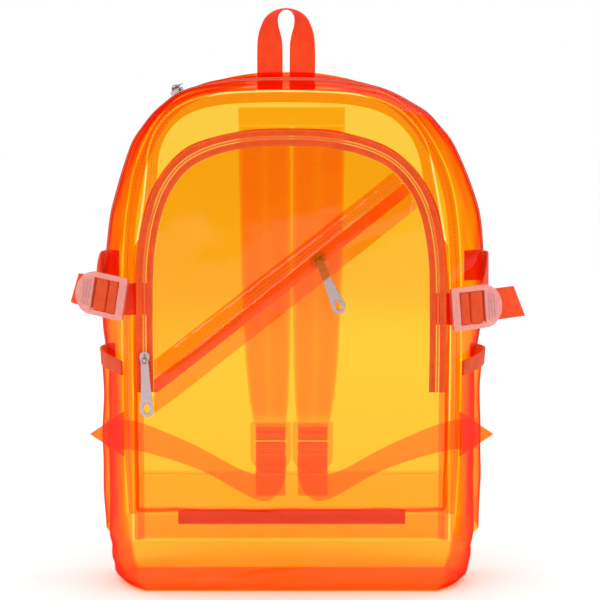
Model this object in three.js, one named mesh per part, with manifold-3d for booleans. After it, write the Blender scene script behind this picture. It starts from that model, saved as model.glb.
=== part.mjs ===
// Clear stadium backpack: a see-through PVC bag with a boot at its foot, a zip over the top, an arched
// front pocket with a diagonal flap, side pockets, buckled side straps, a carry handle and shoulder straps.
// Millimetres, +Z up, the front faces -Y, and the bag stands on the plane z = 0.
import * as THREE from 'three';
import { mergeVertices } from 'three/addons/utils/BufferGeometryUtils.js';
import Module from 'manifold-3d';

const wasm = await Module();
wasm.setup();

// Stock
const PVC = 1.2;
const FIT = 0.3;
const TAPE = 1.0;
const WEB_WIDTH = 25;
const WEB_THICK = 1.4;

// Body
const BODY_DEPTH = 118;
const BOOT_HEIGHT = 43;
const FRONT_HALF = 127;
const FRONT_TOP = 401.5;
const CREST_HALF = 154;
const CREST_TOP = 407;
const BACK_HALF = 142;
const BACK_TOP = 413;
const CREST_AT = 0.45;
const FRONT_BULGE = 6;
const BACK_BULGE = 3;
const TOP_LEAN = -4.5;
const LEAN_FROM = 300;
// The crest stands to one side of the faces between these heights
const CREST_SHIFT = 3;
const SHIFT_FROM = 190;
const SHIFT_FULL = 290;
const SHIFT_FADES = 378;
const SHIFT_ENDS = 398;
const BINDING_WIDTH = 8;

// Main zip, as a place across the gusset
const ZIP_END_HEIGHT = 190;
const ZIP_AT = 0.56;
const ZIP_TAPE_WIDTH = 8;
const COIL_WIDTH = 2.4;
const COIL_THICK = 2.2;
const MAIN_SLIDER_HEIGHT = 396;

// Front pocket
const POCKET_HALF = 122;
const POCKET_BOTTOM = 69;
const POCKET_TOP = 372.5;
const POCKET_DEPTH = 19;
const POCKET_BULGE = 7;
const POCKET_BAND_HEIGHT = 34;
const POCKET_TAPE_WIDTH = 5;
const POCKET_ZIP_FOOT = 165;
const POCKET_SLIDER_HEIGHT = 192;
const INNER_SHEET_SET_BACK = 4;

// Diagonal opening on the pocket
const FLAP_ANGLE = THREE.MathUtils.degToRad(38.3);
const FLAP_CENTRE_HEIGHT = 275.6;
const FLAP_WIDTH = 33;
const FLAP_LIFT = 7.4;
const FLAP_ZIP_AT = 17;
const FLAP_ZIP_WIDTH = 9.4;
const FLAP_SLIDER_ALONG = 13.8;
const FLAP_PULL_LEAN = THREE.MathUtils.degToRad(23);

// Side pockets
const SIDE_POCKET_RIM = 178;
const SIDE_POCKET_BULGE = 3.6;
const SIDE_POCKET_FOOT = 0.35;
const SIDE_POCKET_FULL_BY = 0.4;
const SIDE_POCKET_FRONT = 0.1;
const SIDE_POCKET_BACK = 0.9;
const SIDE_BINDING_HEIGHT = 12;
const SIDE_BINDING_THICK = 2;

// Ladder buckle
const BUCKLE_WIDTH = 34;
const BUCKLE_THICK = 4;
const BUCKLE_BAR_THICK = 2;
const BUCKLE_RAIL = 3.9;
const BUCKLE_END_BAR = 6.5;
const BUCKLE_INNER_SLOT = 2.9;
const BUCKLE_INNER_BAR = 3.6;
const BUCKLE_MIDDLE_SLOT = 5.3;
const BUCKLE_OUTER_BAR = 6;
const BUCKLE_OUTER_SLOT = 3.9;
const BUCKLE_TAB = 14.3;

// Carrying
const HANDLE_RISE = 51;
const HANDLE_HALF_SPAN = 13.4;
const HANDLE_WIDTH = 21;
const HANDLE_SEWN = 15;
const STRAP_WIDTH = 44;
const STRAP_THICK = 8;
const STRAP_TOP = 368;
const STRAP_BOTTOM = 120;
const STRAP_BOW = 10;
const YOKE_HEIGHT = 15;
const LOWER_TURN = 18;
const TAIL_FOOT = 58;
const TAB_LOW = 92;
const TAB_HIGH = 130;
const TAB_REACH = 168.5;
const BASE_TAPE_LENGTH = 190;
const BASE_TAPE_HEIGHT = 12;

// Zip slider and its pull
const SLIDER_WIDTH = 8;
const SLIDER_LENGTH = 11;
const SLIDER_THICK = 2.4;
const BAIL_INNER = 2.6;
const BAIL_WIRE = 0.9;
const PULL_THICK = 1;
const PULL_LENGTH = 46;
const PULL_RING = 2.2;
const PULL_WIRE = 0.9;
const PULL_NECK = 6.4;
const PULL_WIDTH = 11;
const PULL_EYE = [2.3, 3.8];
const HINGE_HEIGHT = SLIDER_THICK + PULL_THICK / 2 + 0.4;
const POCKET_PULL_LEAN = THREE.MathUtils.degToRad(2.5);

// Outlines of half the bag, from the top of the boot to the top: share of the half width across
// and share of the height above the boot.
const FRONT_SEAM = [
  { across: 1.0, up: 0.0 },
  { across: 1.0, up: 0.28 },
  { across: 1.0, up: 0.52 },
  { across: 0.98, up: 0.633 },
  { across: 0.937, up: 0.731 },
  { across: 0.902, up: 0.815 },
  { across: 0.882, up: 0.862 },
  { across: 0.843, up: 0.901 },
  { across: 0.78, up: 0.934 },
  { across: 0.693, up: 0.962 },
  { across: 0.583, up: 0.981 },
  { across: 0.433, up: 0.994 },
  { across: 0.2, up: 1.0 },
];
const CREST = [
  { across: 0.963, up: 0.0 },
  { across: 0.96, up: 0.157 },
  { across: 0.957, up: 0.294 },
  { across: 0.964, up: 0.39 },
  { across: 0.985, up: 0.46 },
  { across: 0.988, up: 0.541 },
  { across: 0.974, up: 0.646 },
  { across: 0.955, up: 0.706 },
  { across: 0.918, up: 0.761 },
  { across: 0.874, up: 0.816 },
  { across: 0.827, up: 0.865 },
  { across: 0.772, up: 0.898 },
  { across: 0.717, up: 0.926 },
  { across: 0.648, up: 0.948 },
  { across: 0.578, up: 0.967 },
  { across: 0.5, up: 0.981 },
  { across: 0.38, up: 0.992 },
  { across: 0.208, up: 0.999 },
];
const BACK_SEAM = [
  { across: 0.972, up: 0.0 },
  { across: 0.993, up: 0.154 },
  { across: 1.0, up: 0.424 },
  { across: 0.993, up: 0.586 },
  { across: 0.968, up: 0.695 },
  { across: 0.923, up: 0.776 },
  { across: 0.866, up: 0.83 },
  { across: 0.796, up: 0.878 },
  { across: 0.715, up: 0.916 },
  { across: 0.641, up: 0.941 },
  { across: 0.549, up: 0.959 },
  { across: 0.43, up: 0.976 },
  { across: 0.296, up: 0.989 },
  { across: 0.141, up: 0.997 },
];
const POCKET_EDGE = [
  { across: 0.984, up: 0.0 },
  { across: 0.996, up: 0.267 },
  { across: 1.0, up: 0.53 },
  { across: 0.992, up: 0.662 },
  { across: 0.963, up: 0.745 },
  { across: 0.918, up: 0.81 },
  { across: 0.861, up: 0.86 },
  { across: 0.77, up: 0.909 },
  { across: 0.672, up: 0.942 },
  { across: 0.533, up: 0.969 },
  { across: 0.369, up: 0.987 },
  { across: 0.18, up: 0.997 },
];
// Rounding of the boot's foot: share of the boot's height, and inset as a share of the same height.
const BOOT_FOOT = [
  { up: 1.0, inset: 0.0 },
  { up: 0.79, inset: 0.02 },
  { up: 0.56, inset: 0.05 },
  { up: 0.35, inset: 0.07 },
  { up: 0.16, inset: 0.11 },
  { up: 0.0, inset: 0.25 },
];
// Edges of a shoulder strap: share of its length from the top, outer edge and inner edge as shares of its width.
const STRAP_EDGES = [
  { down: 0.0, outer: 1.0, inner: 0.0 },
  { down: 0.1, outer: 1.0, inner: 0.0 },
  { down: 0.5, outer: 0.96, inner: 0.0 },
  { down: 0.8, outer: 0.88, inner: 0.02 },
  { down: 0.93, outer: 0.8, inner: 0.05 },
  { down: 1.0, outer: 0.72, inner: 0.09 },
];

const FRONT_Y = -BODY_DEPTH / 2;
const BACK_Y = BODY_DEPTH / 2;
const POCKET_FACE_Y = FRONT_Y - POCKET_DEPTH;
const BUCKLE_LENGTH = BUCKLE_END_BAR + BUCKLE_INNER_SLOT + BUCKLE_INNER_BAR + BUCKLE_MIDDLE_SLOT
  + BUCKLE_OUTER_BAR + BUCKLE_OUTER_SLOT + BUCKLE_TAB;

const mix = THREE.MathUtils.lerp;
const vector = (x, y, z) => new THREE.Vector3(x, y, z);

// Side buckles: where the inner end sits, how far the strap turns back and how far its tab tips up
const SIDES = {
  left: { sign: -1, x: 131, height: 237, turn: 0.35, tip: 0.17, tail: 46, tailRoll: 0.35 },
  right: { sign: 1, x: 127, height: 229, turn: 0.35, tip: 0.08, tail: 60, tailRoll: 0.1 },
};
const BUCKLE_Y = FRONT_Y - 13;
const SIDE_ANCHOR_HEIGHT = 255;
const FIXED_END = 112;
const FIXED_FLAT = 10;
const ADJUST_STAND_OFF = 3;
const TAIL_STAND_OFF = 1.5;
const TAIL_SLANT = 6;

// Materials
const matte = (color, roughness, opacity = 1) => new THREE.MeshStandardMaterial({
  color, roughness, metalness: 0, opacity, transparent: opacity < 1,
});
const clearPvc = matte('#ffae1e', 0.12, 0.45);
const zipCloth = matte('#e8501c', 0.75);
const webbing = matte('#f04e2f', 0.8);
const padding = matte('#f06a18', 0.7);
const frosted = matte('#f2a9a6', 0.35, 0.75);
const metal = new THREE.MeshStandardMaterial({ color: '#c7a3a0', roughness: 0.28, metalness: 1 });

// Closed solid from a surface: pointAt(u, v) is its outer face, and the wall goes inward from it
function sheet(pointAt, { steps, thickness, offset = 0, ring = false, flip = false }) {
  const [across, along] = steps;
  const columns = ring ? across : across + 1;
  const rows = along + 1;
  const reach = 1e-3;
  const normalAt = (u, v) => {
    const before = [Math.max(u - reach, ring ? u - reach : 0), Math.max(v - reach, 0)];
    const after = [Math.min(u + reach, ring ? u + reach : 1), Math.min(v + reach, 1)];
    const alongU = pointAt(after[0], v).sub(pointAt(before[0], v));
    const alongV = pointAt(u, after[1]).sub(pointAt(u, before[1]));
    return alongU.cross(alongV).normalize().multiplyScalar(flip ? -1 : 1);
  };
  const positions = [];
  for (const depth of [offset, offset - thickness]) {
    for (let column = 0; column < columns; column += 1) {
      for (let row = 0; row < rows; row += 1) {
        const u = column / across;
        const v = row / along;
        const place = pointAt(u, v).addScaledVector(normalAt(u, v), depth);
        positions.push(place.x, place.y, place.z);
      }
    }
  }
  const id = (layer, column, row) => (layer * columns + (column % columns)) * rows + row;
  const index = [];
  const quad = (a, b, c, d) => index.push(a, b, c, a, c, d);
  for (let column = 0; column < across; column += 1) {
    for (let row = 0; row < along; row += 1) {
      quad(id(0, column, row), id(0, column + 1, row), id(0, column + 1, row + 1), id(0, column, row + 1));
      quad(id(1, column, row), id(1, column, row + 1), id(1, column + 1, row + 1), id(1, column + 1, row));
    }
    quad(id(0, column, 0), id(1, column, 0), id(1, column + 1, 0), id(0, column + 1, 0));
    quad(id(0, column, along), id(0, column + 1, along), id(1, column + 1, along), id(1, column, along));
  }
  if (!ring) {
    for (let row = 0; row < along; row += 1) {
      quad(id(0, 0, row), id(0, 0, row + 1), id(1, 0, row + 1), id(1, 0, row));
      quad(id(0, across, row), id(1, across, row), id(1, across, row + 1), id(0, across, row + 1));
    }
  }
  return facingOut(meshGeometry(positions, index));
}

function meshGeometry(positions, index) {
  const geometry = new THREE.BufferGeometry();
  geometry.setAttribute('position', new THREE.Float32BufferAttribute(positions, 3));
  geometry.setIndex(index);
  return geometry;
}

function facingOut(geometry) {
  const place = geometry.getAttribute('position');
  const index = geometry.index.array;
  let volume = 0;
  for (let corner = 0; corner < index.length; corner += 3) {
    const [a, b, c] = [0, 1, 2].map((step) => new THREE.Vector3().fromBufferAttribute(place, index[corner + step]));
    volume += a.dot(b.cross(c));
  }
  if (volume < 0) {
    for (let corner = 0; corner < index.length; corner += 3) {
      [index[corner + 1], index[corner + 2]] = [index[corner + 2], index[corner + 1]];
    }
  }
  return geometry;
}

function solidOf(geometry) {
  const bare = geometry.clone();
  bare.deleteAttribute('normal');
  bare.deleteAttribute('uv');
  const merged = mergeVertices(bare);
  return new wasm.Manifold(new wasm.Mesh({
    numProp: 3,
    vertProperties: new Float32Array(merged.getAttribute('position').array),
    triVerts: new Uint32Array(merged.index.array),
  }));
}

function geometryOf(solid) {
  const { vertProperties, triVerts } = solid.getMesh();
  return meshGeometry(Array.from(vertProperties), Array.from(triVerts));
}

const keepInside = (geometry, cutter) => geometryOf(solidOf(geometry).intersect(solidOf(cutter)));
const cutAway = (geometry, cutter) => geometryOf(solidOf(geometry).subtract(solidOf(cutter)));
const joined = (...parts) => geometryOf(parts.map(solidOf).reduce((whole, part) => whole.add(part)));

// Prism of an outline drawn in x and z, from one y to another
function prism(outline, fromY, toY) {
  const shape = new THREE.Shape(outline.map(({ x, y }) => new THREE.Vector2(x, y)));
  const block = new THREE.ExtrudeGeometry(shape, { depth: toY - fromY, bevelEnabled: false });
  return block.rotateX(Math.PI / 2).translate(0, toY, 0);
}

// Arch drawn from the left foot over the top to the right foot
function arch(rows, half, bottom, top) {
  const left = rows.map(({ across, up }) => vector(-across * half, 0, mix(bottom, top, up)));
  const right = left.map((place) => vector(-place.x, 0, place.z)).reverse();
  const curve = new THREE.CatmullRomCurve3([...left, ...right], false, 'centripetal');
  curve.arcLengthDivisions = 400;
  return curve;
}

const frontArch = arch(FRONT_SEAM, FRONT_HALF, BOOT_HEIGHT + FIT, FRONT_TOP);
const crestArch = arch(CREST, CREST_HALF, BOOT_HEIGHT + FIT, CREST_TOP);
const backArch = arch(BACK_SEAM, BACK_HALF, BOOT_HEIGHT + FIT, BACK_TOP);
const pocketArch = arch(POCKET_EDGE, POCKET_HALF, POCKET_BOTTOM, POCKET_TOP);

// The top of the bag leans a little to one side
function leanAt(z) {
  return TOP_LEAN * THREE.MathUtils.smoothstep(z, LEAN_FROM, BACK_TOP);
}

// The crest of the gusset stands a little to the other side above the middle of the bag
function crestShiftAt(z) {
  const rising = THREE.MathUtils.smoothstep(z, SHIFT_FROM, SHIFT_FULL);
  return CREST_SHIFT * rising * (1 - THREE.MathUtils.smoothstep(z, SHIFT_FADES, SHIFT_ENDS));
}

// Place on an arch, moved inward by a distance
function archPlace(curve, u, inset = 0) {
  const place = curve.getPointAt(u);
  const along = curve.getTangentAt(u);
  const x = place.x + inset * along.z;
  const z = place.z - inset * along.x;
  return new THREE.Vector2(x + leanAt(z), z);
}

// Share of the way along an arch where its left side reaches a height
function archAtHeight(curve, height) {
  let low = 0;
  let high = 0.5;
  for (let pass = 0; pass < 30; pass += 1) {
    const middle = (low + high) / 2;
    if (curve.getPointAt(middle).z < height) low = middle;
    else high = middle;
  }
  return (low + high) / 2;
}

function halfWidthAt(curve, height) {
  return Math.max(Math.abs(curve.getPointAt(archAtHeight(curve, height)).x), FRONT_HALF / 5);
}

function widthTable(curve, bottom, top) {
  const count = 60;
  const widths = Array.from({ length: count + 1 }, (_, row) => halfWidthAt(curve, mix(bottom, top, row / count)));
  return (z) => {
    const row = THREE.MathUtils.clamp((z - bottom) / (top - bottom), 0, 1) * count;
    const low = Math.min(Math.floor(row), count - 1);
    return mix(widths[low], widths[low + 1], row - low);
  };
}
const frontHalfAt = widthTable(frontArch, BOOT_HEIGHT, FRONT_TOP);
const backHalfAt = widthTable(backArch, BOOT_HEIGHT, BACK_TOP);
const pocketHalfAt = widthTable(pocketArch, POCKET_BOTTOM, POCKET_TOP);

// How far a panel swells at a place: nothing along its edge, most in the middle
function swell(x, z, halfAt, bottom, top) {
  const sideways = (x - leanAt(z)) / halfAt(z);
  const upward = (2 * (z - bottom)) / (top - bottom) - 1;
  return (1 - sideways ** 2) * (1 - upward ** 4);
}
const frontFaceY = (x, z) => FRONT_Y - FRONT_BULGE * swell(x, z, frontHalfAt, BOOT_HEIGHT, FRONT_TOP);
const backFaceY = (x, z) => BACK_Y + BACK_BULGE * swell(x, z, backHalfAt, BOOT_HEIGHT, BACK_TOP);
const pocketFaceY = (x, z) => POCKET_FACE_Y
  - POCKET_BULGE * Math.max(swell(x, z, pocketHalfAt, POCKET_BOTTOM, POCKET_TOP), 0);

// The gusset: a quadratic from the front seam through the crest to the back seam
function gusset(u, t) {
  const [front, crest, back] = [frontArch, crestArch, backArch].map((curve) => curve.getPointAt(u));
  const frontShare = ((t - CREST_AT) * (t - 1)) / CREST_AT;
  const crestShare = (t * (t - 1)) / (CREST_AT * (CREST_AT - 1));
  const backShare = (t * (t - CREST_AT)) / (1 - CREST_AT);
  const crestX = crest.x + crestShiftAt(crest.z);
  const x = front.x * frontShare + crestX * crestShare + back.x * backShare;
  const z = front.z * frontShare + crest.z * crestShare + back.z * backShare;
  return vector(x + leanAt(z), mix(FRONT_Y, BACK_Y, t), z);
}

function gussetPiece([fromU, toU], [fromT, toT], options) {
  return sheet((u, v) => gusset(mix(fromU, toU, u), mix(fromT, toT, v)), options);
}

// A panel in x and z: a swelling slab kept inside an outline
function panel(faceY, outline, { steps, thickness, flip = false }) {
  const box = new THREE.Box2().setFromPoints(outline).expandByScalar(1);
  const surface = (u, v) => {
    const x = mix(box.min.x, box.max.x, u);
    const z = mix(box.min.y, box.max.y, v);
    return vector(x, faceY(x, z), z);
  };
  const slab = sheet(surface, { steps, thickness, flip });
  return keepInside(slab, prism(outline, -2 * BODY_DEPTH, 2 * BODY_DEPTH));
}

function archOutline(curve, inset, count, fromU = 0, toU = 1) {
  return Array.from({ length: count + 1 }, (_, step) => archPlace(curve, mix(fromU, toU, step / count), inset));
}

// Flat band that follows an arch, between two insets, its front face given by faceY
function archBand(curve, [outer, inner], faceY, { fromU = 0, toU = 1, steps, thickness, flip = false }) {
  const surface = (u, v) => {
    const place = archPlace(curve, mix(fromU, toU, u), mix(inner, outer, v));
    return vector(place.x, faceY(place.x, place.y), place.y);
  };
  return sheet(surface, { steps, thickness, flip });
}

// Strap of flat webbing through stations, each with its place and the direction across the strap
function ribbon(stations, { width = WEB_WIDTH, thickness = WEB_THICK, perStation = 3, cutSlant = 0 }) {
  const centre = new THREE.CatmullRomCurve3(stations.map(({ at }) => at), false, 'centripetal');
  const across = new THREE.CatmullRomCurve3(stations.map((station) => station.across), false, 'centripetal');
  const surface = (u, v) => {
    const shift = width * (v - 0.5);
    const ahead = cutSlant * (v - 0.5) * u ** 8;
    return centre.getPoint(u)
      .addScaledVector(across.getPoint(u).normalize(), shift)
      .addScaledVector(centre.getTangent(u), ahead);
  };
  const steps = [(stations.length - 1) * perStation, 1];
  return sheet(surface, { steps, thickness, offset: thickness / 2 });
}

const group = new THREE.Group();
function add(name, geometry, material, parent = group) {
  const mesh = new THREE.Mesh(geometry, material);
  mesh.name = name;
  parent.add(mesh);
  return mesh;
}

// Body panels
const ARCH_STEPS = 32;
const seamInset = PVC + 2.5 * FIT;
const bindingLift = 1.5 * FIT;
const frontOutline = archOutline(frontArch, seamInset, ARCH_STEPS);
const backOutline = archOutline(backArch, seamInset, ARCH_STEPS);
add('front_panel', panel(frontFaceY, frontOutline, { steps: [8, 8], thickness: PVC }), clearPvc);
add('back_panel', panel(backFaceY, backOutline, { steps: [6, 7], thickness: PVC, flip: true }), clearPvc);

const bindingBand = [seamInset, seamInset + BINDING_WIDTH];
add('front_seam_binding', archBand(frontArch, bindingBand, (x, z) => frontFaceY(x, z) + PVC + bindingLift,
  { steps: [ARCH_STEPS, 1], thickness: TAPE }), zipCloth);
add('back_seam_binding', archBand(backArch, bindingBand, (x, z) => backFaceY(x, z) - PVC - bindingLift,
  { steps: [ARCH_STEPS, 1], thickness: TAPE, flip: true }), zipCloth);

// Gusset: side panels below the main zip's ends, and strips on both sides of the zip
const depthShare = (length) => length / BODY_DEPTH;
const zipFoot = archAtHeight(crestArch, ZIP_END_HEIGHT);
const zipSpan = [zipFoot, 1 - zipFoot];
const zipGap = depthShare(FIT);
const coilHalf = depthShare(COIL_WIDTH / 2);
const tapeFront = [ZIP_AT - coilHalf - zipGap - depthShare(ZIP_TAPE_WIDTH), ZIP_AT - coilHalf - zipGap];
const tapeBack = [ZIP_AT + coilHalf + zipGap, ZIP_AT + coilHalf + zipGap + depthShare(ZIP_TAPE_WIDTH)];
const footGap = FIT / crestArch.getLength();
for (const [side, fromU, toU] of [['left', 0, zipFoot - footGap], ['right', 1 - zipFoot + footGap, 1]]) {
  add(`side_panel_${side}`, gussetPiece([fromU, toU], [0, 1], { steps: [6, 7], thickness: PVC }), clearPvc);
}
add('gusset_front_strip', gussetPiece(zipSpan, [0, tapeFront[0] - zipGap],
  { steps: [ARCH_STEPS, 2], thickness: PVC }), clearPvc);
add('gusset_back_strip', gussetPiece(zipSpan, [tapeBack[1] + zipGap, 1],
  { steps: [ARCH_STEPS, 3], thickness: PVC }), clearPvc);
add('main_zip_tape_front', gussetPiece(zipSpan, tapeFront, { steps: [ARCH_STEPS, 1], thickness: TAPE }), zipCloth);
add('main_zip_tape_back', gussetPiece(zipSpan, tapeBack, { steps: [ARCH_STEPS, 1], thickness: TAPE }), zipCloth);
add('main_zip_coil', gussetPiece(zipSpan, [ZIP_AT - coilHalf, ZIP_AT + coilHalf],
  { steps: [ARCH_STEPS, 1], thickness: COIL_THICK, offset: (COIL_THICK - TAPE) / 2 }), zipCloth);

// Boot: a tray whose rim follows the foot of the body
function bootRing(inset, z) {
  const side = 8;
  const straight = 4;
  const rim = [];
  for (let step = 0; step < side; step += 1) rim.push(gusset(0, step / side));
  for (let step = 0; step < straight; step += 1) rim.push(gusset(0, 1).lerp(gusset(1, 1), step / straight));
  for (let step = 0; step < side; step += 1) rim.push(gusset(1, 1 - step / side));
  for (let step = 0; step < straight; step += 1) rim.push(gusset(1, 0).lerp(gusset(0, 0), step / straight));
  const narrowed = 1 - inset / FRONT_HALF;
  const shallowed = 1 - (2 * inset) / BODY_DEPTH;
  return rim.map((place) => vector(place.x * narrowed, place.y * shallowed, z));
}

function boot() {
  const outer = BOOT_FOOT.map(({ up, inset }) => bootRing(inset * BOOT_HEIGHT, up * BOOT_HEIGHT));
  const inner = BOOT_FOOT.map(({ up, inset }) => bootRing(inset * BOOT_HEIGHT + PVC, mix(PVC, BOOT_HEIGHT, up)));
  const rings = [...outer.reverse(), ...inner];
  const count = rings[0].length;
  const positions = rings.flat().flatMap((place) => [place.x, place.y, place.z]);
  const under = positions.length / 3;
  positions.push(0, 0, 0, 0, 0, PVC);
  const index = [];
  for (let step = 0; step < count; step += 1) {
    const next = (step + 1) % count;
    for (let row = 0; row + 1 < rings.length; row += 1) {
      const [low, high] = [row * count, (row + 1) * count];
      index.push(low + step, low + next, high + next, low + step, high + next, high + step);
    }
    const last = (rings.length - 1) * count;
    index.push(under, next, step, under + 1, last + step, last + next);
  }
  return facingOut(meshGeometry(positions, index));
}
add('base_boot', boot(), clearPvc);

// Front pocket: a wall round its edge, then zip, upper and lower sheets, and a band along the foot
const POCKET_STEPS = 28;
const archShare = 0.8;
// How far the wall spreads towards the front panel, as a share of the room there: low down and near the top
const WALL_SPREAD = { low: 0.8, high: 0.3, changesAt: 0.7 * FRONT_TOP };
function pocketEdge(u) {
  if (u < archShare) return archPlace(pocketArch, u / archShare);
  const [right, left] = [archPlace(pocketArch, 1), archPlace(pocketArch, 0)];
  return right.lerp(left, (u - archShare) / (1 - archShare));
}
function pocketWallPlace(u, v) {
  const edge = pocketEdge(THREE.MathUtils.euclideanModulo(u, 1));
  const spread = FRONT_HALF / POCKET_HALF - 1;
  const share = edge.y < WALL_SPREAD.changesAt ? WALL_SPREAD.low : WALL_SPREAD.high;
  const rearX = edge.x * (1 + spread * share);
  const rear = vector(rearX, frontFaceY(rearX, edge.y) - 2 * FIT, edge.y);
  const front = vector(edge.x, POCKET_FACE_Y, edge.y);
  return front.lerp(rear, v);
}
let pocketWall = sheet(pocketWallPlace, { steps: [POCKET_STEPS / archShare, 1], thickness: PVC, ring: true });

const tapeInset = 0.5;
const coilInset = tapeInset + POCKET_TAPE_WIDTH + FIT;
const zipInsets = {
  outer: [tapeInset, tapeInset + POCKET_TAPE_WIDTH],
  coil: [coilInset, coilInset + COIL_WIDTH],
};
zipInsets.inner = [zipInsets.coil[1] + FIT, zipInsets.coil[1] + FIT + POCKET_TAPE_WIDTH];
const frontInset = zipInsets.inner[1] + FIT;
const pocketTapeY = POCKET_FACE_Y - FIT;
const pocketZipFoot = archAtHeight(pocketArch, POCKET_ZIP_FOOT);
const zipBand = { fromU: pocketZipFoot, toU: 1 - pocketZipFoot, steps: [POCKET_STEPS, 1] };
add('pocket_zip_tape_outer', archBand(pocketArch, zipInsets.outer, () => pocketTapeY - TAPE,
  { ...zipBand, thickness: TAPE }), zipCloth);
add('pocket_zip_tape_inner', archBand(pocketArch, zipInsets.inner, () => pocketTapeY - TAPE,
  { ...zipBand, thickness: TAPE }), zipCloth);
add('pocket_zip_coil', archBand(pocketArch, zipInsets.coil, () => pocketTapeY - TAPE - (COIL_THICK - TAPE) / 2,
  { ...zipBand, thickness: COIL_THICK }), zipCloth);

// Lines parallel to the diagonal, given by their distance below the flap's upper edge
function diagonalPlace(along, below) {
  return new THREE.Vector2(
    along * Math.cos(FLAP_ANGLE) + below * Math.sin(FLAP_ANGLE),
    FLAP_CENTRE_HEIGHT + along * Math.sin(FLAP_ANGLE) - below * Math.cos(FLAP_ANGLE),
  );
}
function halfPlane(below, upward) {
  const reach = 2 * BACK_TOP;
  const far = upward ? below - reach : below + reach;
  const corners = [[-reach, below], [reach, below], [reach, far], [-reach, far]];
  return corners.map(([along, distance]) => diagonalPlace(along, distance));
}
const insideArch = archOutline(pocketArch, frontInset, POCKET_STEPS, pocketZipFoot, 1 - pocketZipFoot);
const bandTop = POCKET_BOTTOM + POCKET_BAND_HEIGHT;
function insideWall(low, high) {
  const [lowU, highU] = [archAtHeight(pocketArch, low), archAtHeight(pocketArch, high)];
  const wallInset = PVC + 2 * FIT;
  const right = archOutline(pocketArch, wallInset, 3, 1 - highU, 1 - lowU);
  const left = archOutline(pocketArch, wallInset, 3, lowU, highU);
  return [...right, ...left];
}
const pocketFrontOutline = [...insideArch, ...insideWall(bandTop + FIT, POCKET_ZIP_FOOT - FIT)];
const pocketFront = panel(pocketFaceY, pocketFrontOutline, { steps: [8, 10], thickness: PVC });
const zipNear = FLAP_ZIP_AT - FLAP_ZIP_WIDTH / 2;
const zipFar = FLAP_ZIP_AT + FLAP_ZIP_WIDTH / 2;
const wholeDepth = [-2 * BODY_DEPTH, 2 * BODY_DEPTH];
add('pocket_front_upper', keepInside(pocketFront, prism(halfPlane(zipNear - FIT, true), ...wholeDepth)), clearPvc);
add('pocket_front_lower', keepInside(pocketFront, prism(halfPlane(zipFar + FIT, false), ...wholeDepth)), clearPvc);
const bandOutline = insideWall(POCKET_BOTTOM + PVC + 2 * FIT, bandTop);
add('pocket_lower_band', panel(pocketFaceY, bandOutline, { steps: [8, 3], thickness: PVC }), clearPvc);

// Flap, zip and inner sheet of the diagonal opening
function diagonalBand([near, far], lift, { steps, thickness }, insideInset) {
  const reach = 1.3 * POCKET_HALF;
  const surface = (u, v) => {
    const below = mix(far, near, v);
    const place = diagonalPlace(mix(-reach, reach, u), below);
    return vector(place.x, pocketFaceY(place.x, place.y) - lift(below, place.x), place.y);
  };
  const outline = archOutline(pocketArch, insideInset, POCKET_STEPS, pocketZipFoot, 1 - pocketZipFoot);
  const foot = [new THREE.Vector2(outline.at(-1).x, POCKET_BOTTOM), new THREE.Vector2(outline[0].x, POCKET_BOTTOM)];
  return keepInside(sheet(surface, { steps, thickness }), prism([...outline, ...foot], ...wholeDepth));
}
const flapRise = [0.06 * FLAP_WIDTH, zipNear];
function flapLift(below, x) {
  const sewnEnds = THREE.MathUtils.smoothstep(POCKET_HALF - Math.abs(x), frontInset, FLAP_WIDTH);
  return FIT + PVC + FLAP_LIFT * THREE.MathUtils.smoothstep(below, ...flapRise) * sewnEnds;
}
add('diagonal_flap', diagonalBand([0, FLAP_WIDTH], flapLift, { steps: [14, 5], thickness: PVC },
  frontInset + FIT), clearPvc);
add('diagonal_zip_tape', diagonalBand([zipNear, zipFar], () => 0, { steps: [14, 1], thickness: TAPE },
  frontInset), zipCloth);
const innerSheetY = (x, z) => pocketFaceY(x, z) + PVC + FIT
  + INNER_SHEET_SET_BACK * Math.max(swell(x, z, pocketHalfAt, POCKET_BOTTOM, POCKET_TOP), 0);
const innerSheet = panel(innerSheetY, insideArch, { steps: [6, 7], thickness: PVC });
add('pocket_inner_sheet', keepInside(innerSheet, prism(halfPlane(zipFar, true), ...wholeDepth)), clearPvc);

// Zip slider: a flat body with a bail, drawn with its base on z = 0 and its travel along y
function slider() {
  const plan = new THREE.Shape();
  const [halfWidth, halfLength] = [SLIDER_WIDTH / 2, SLIDER_LENGTH / 2];
  plan.moveTo(-halfWidth * 0.6, -halfLength);
  plan.lineTo(halfWidth * 0.6, -halfLength);
  plan.lineTo(halfWidth, halfLength * 0.3);
  plan.quadraticCurveTo(halfWidth, halfLength, 0, halfLength);
  plan.quadraticCurveTo(-halfWidth, halfLength, -halfWidth, halfLength * 0.3);
  const bodyBlock = new THREE.ExtrudeGeometry(plan, { depth: SLIDER_THICK, bevelEnabled: false, curveSegments: 4 });
  const sink = 0.5;
  const bail = new THREE.Shape();
  bail.absarc(0, 0, BAIL_INNER + BAIL_WIRE, -sink, Math.PI + sink, false);
  bail.absarc(0, 0, BAIL_INNER, Math.PI + sink, -sink, true);
  const bailBlock = new THREE.ExtrudeGeometry(bail, { depth: BAIL_WIRE, bevelEnabled: false, curveSegments: 6 });
  bailBlock.translate(0, 0, -BAIL_WIRE / 2);
  bailBlock.rotateX(Math.PI / 2).rotateZ(Math.PI / 2).translate(0, 0, HINGE_HEIGHT);
  return joined(bodyBlock, bailBlock);
}

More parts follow.
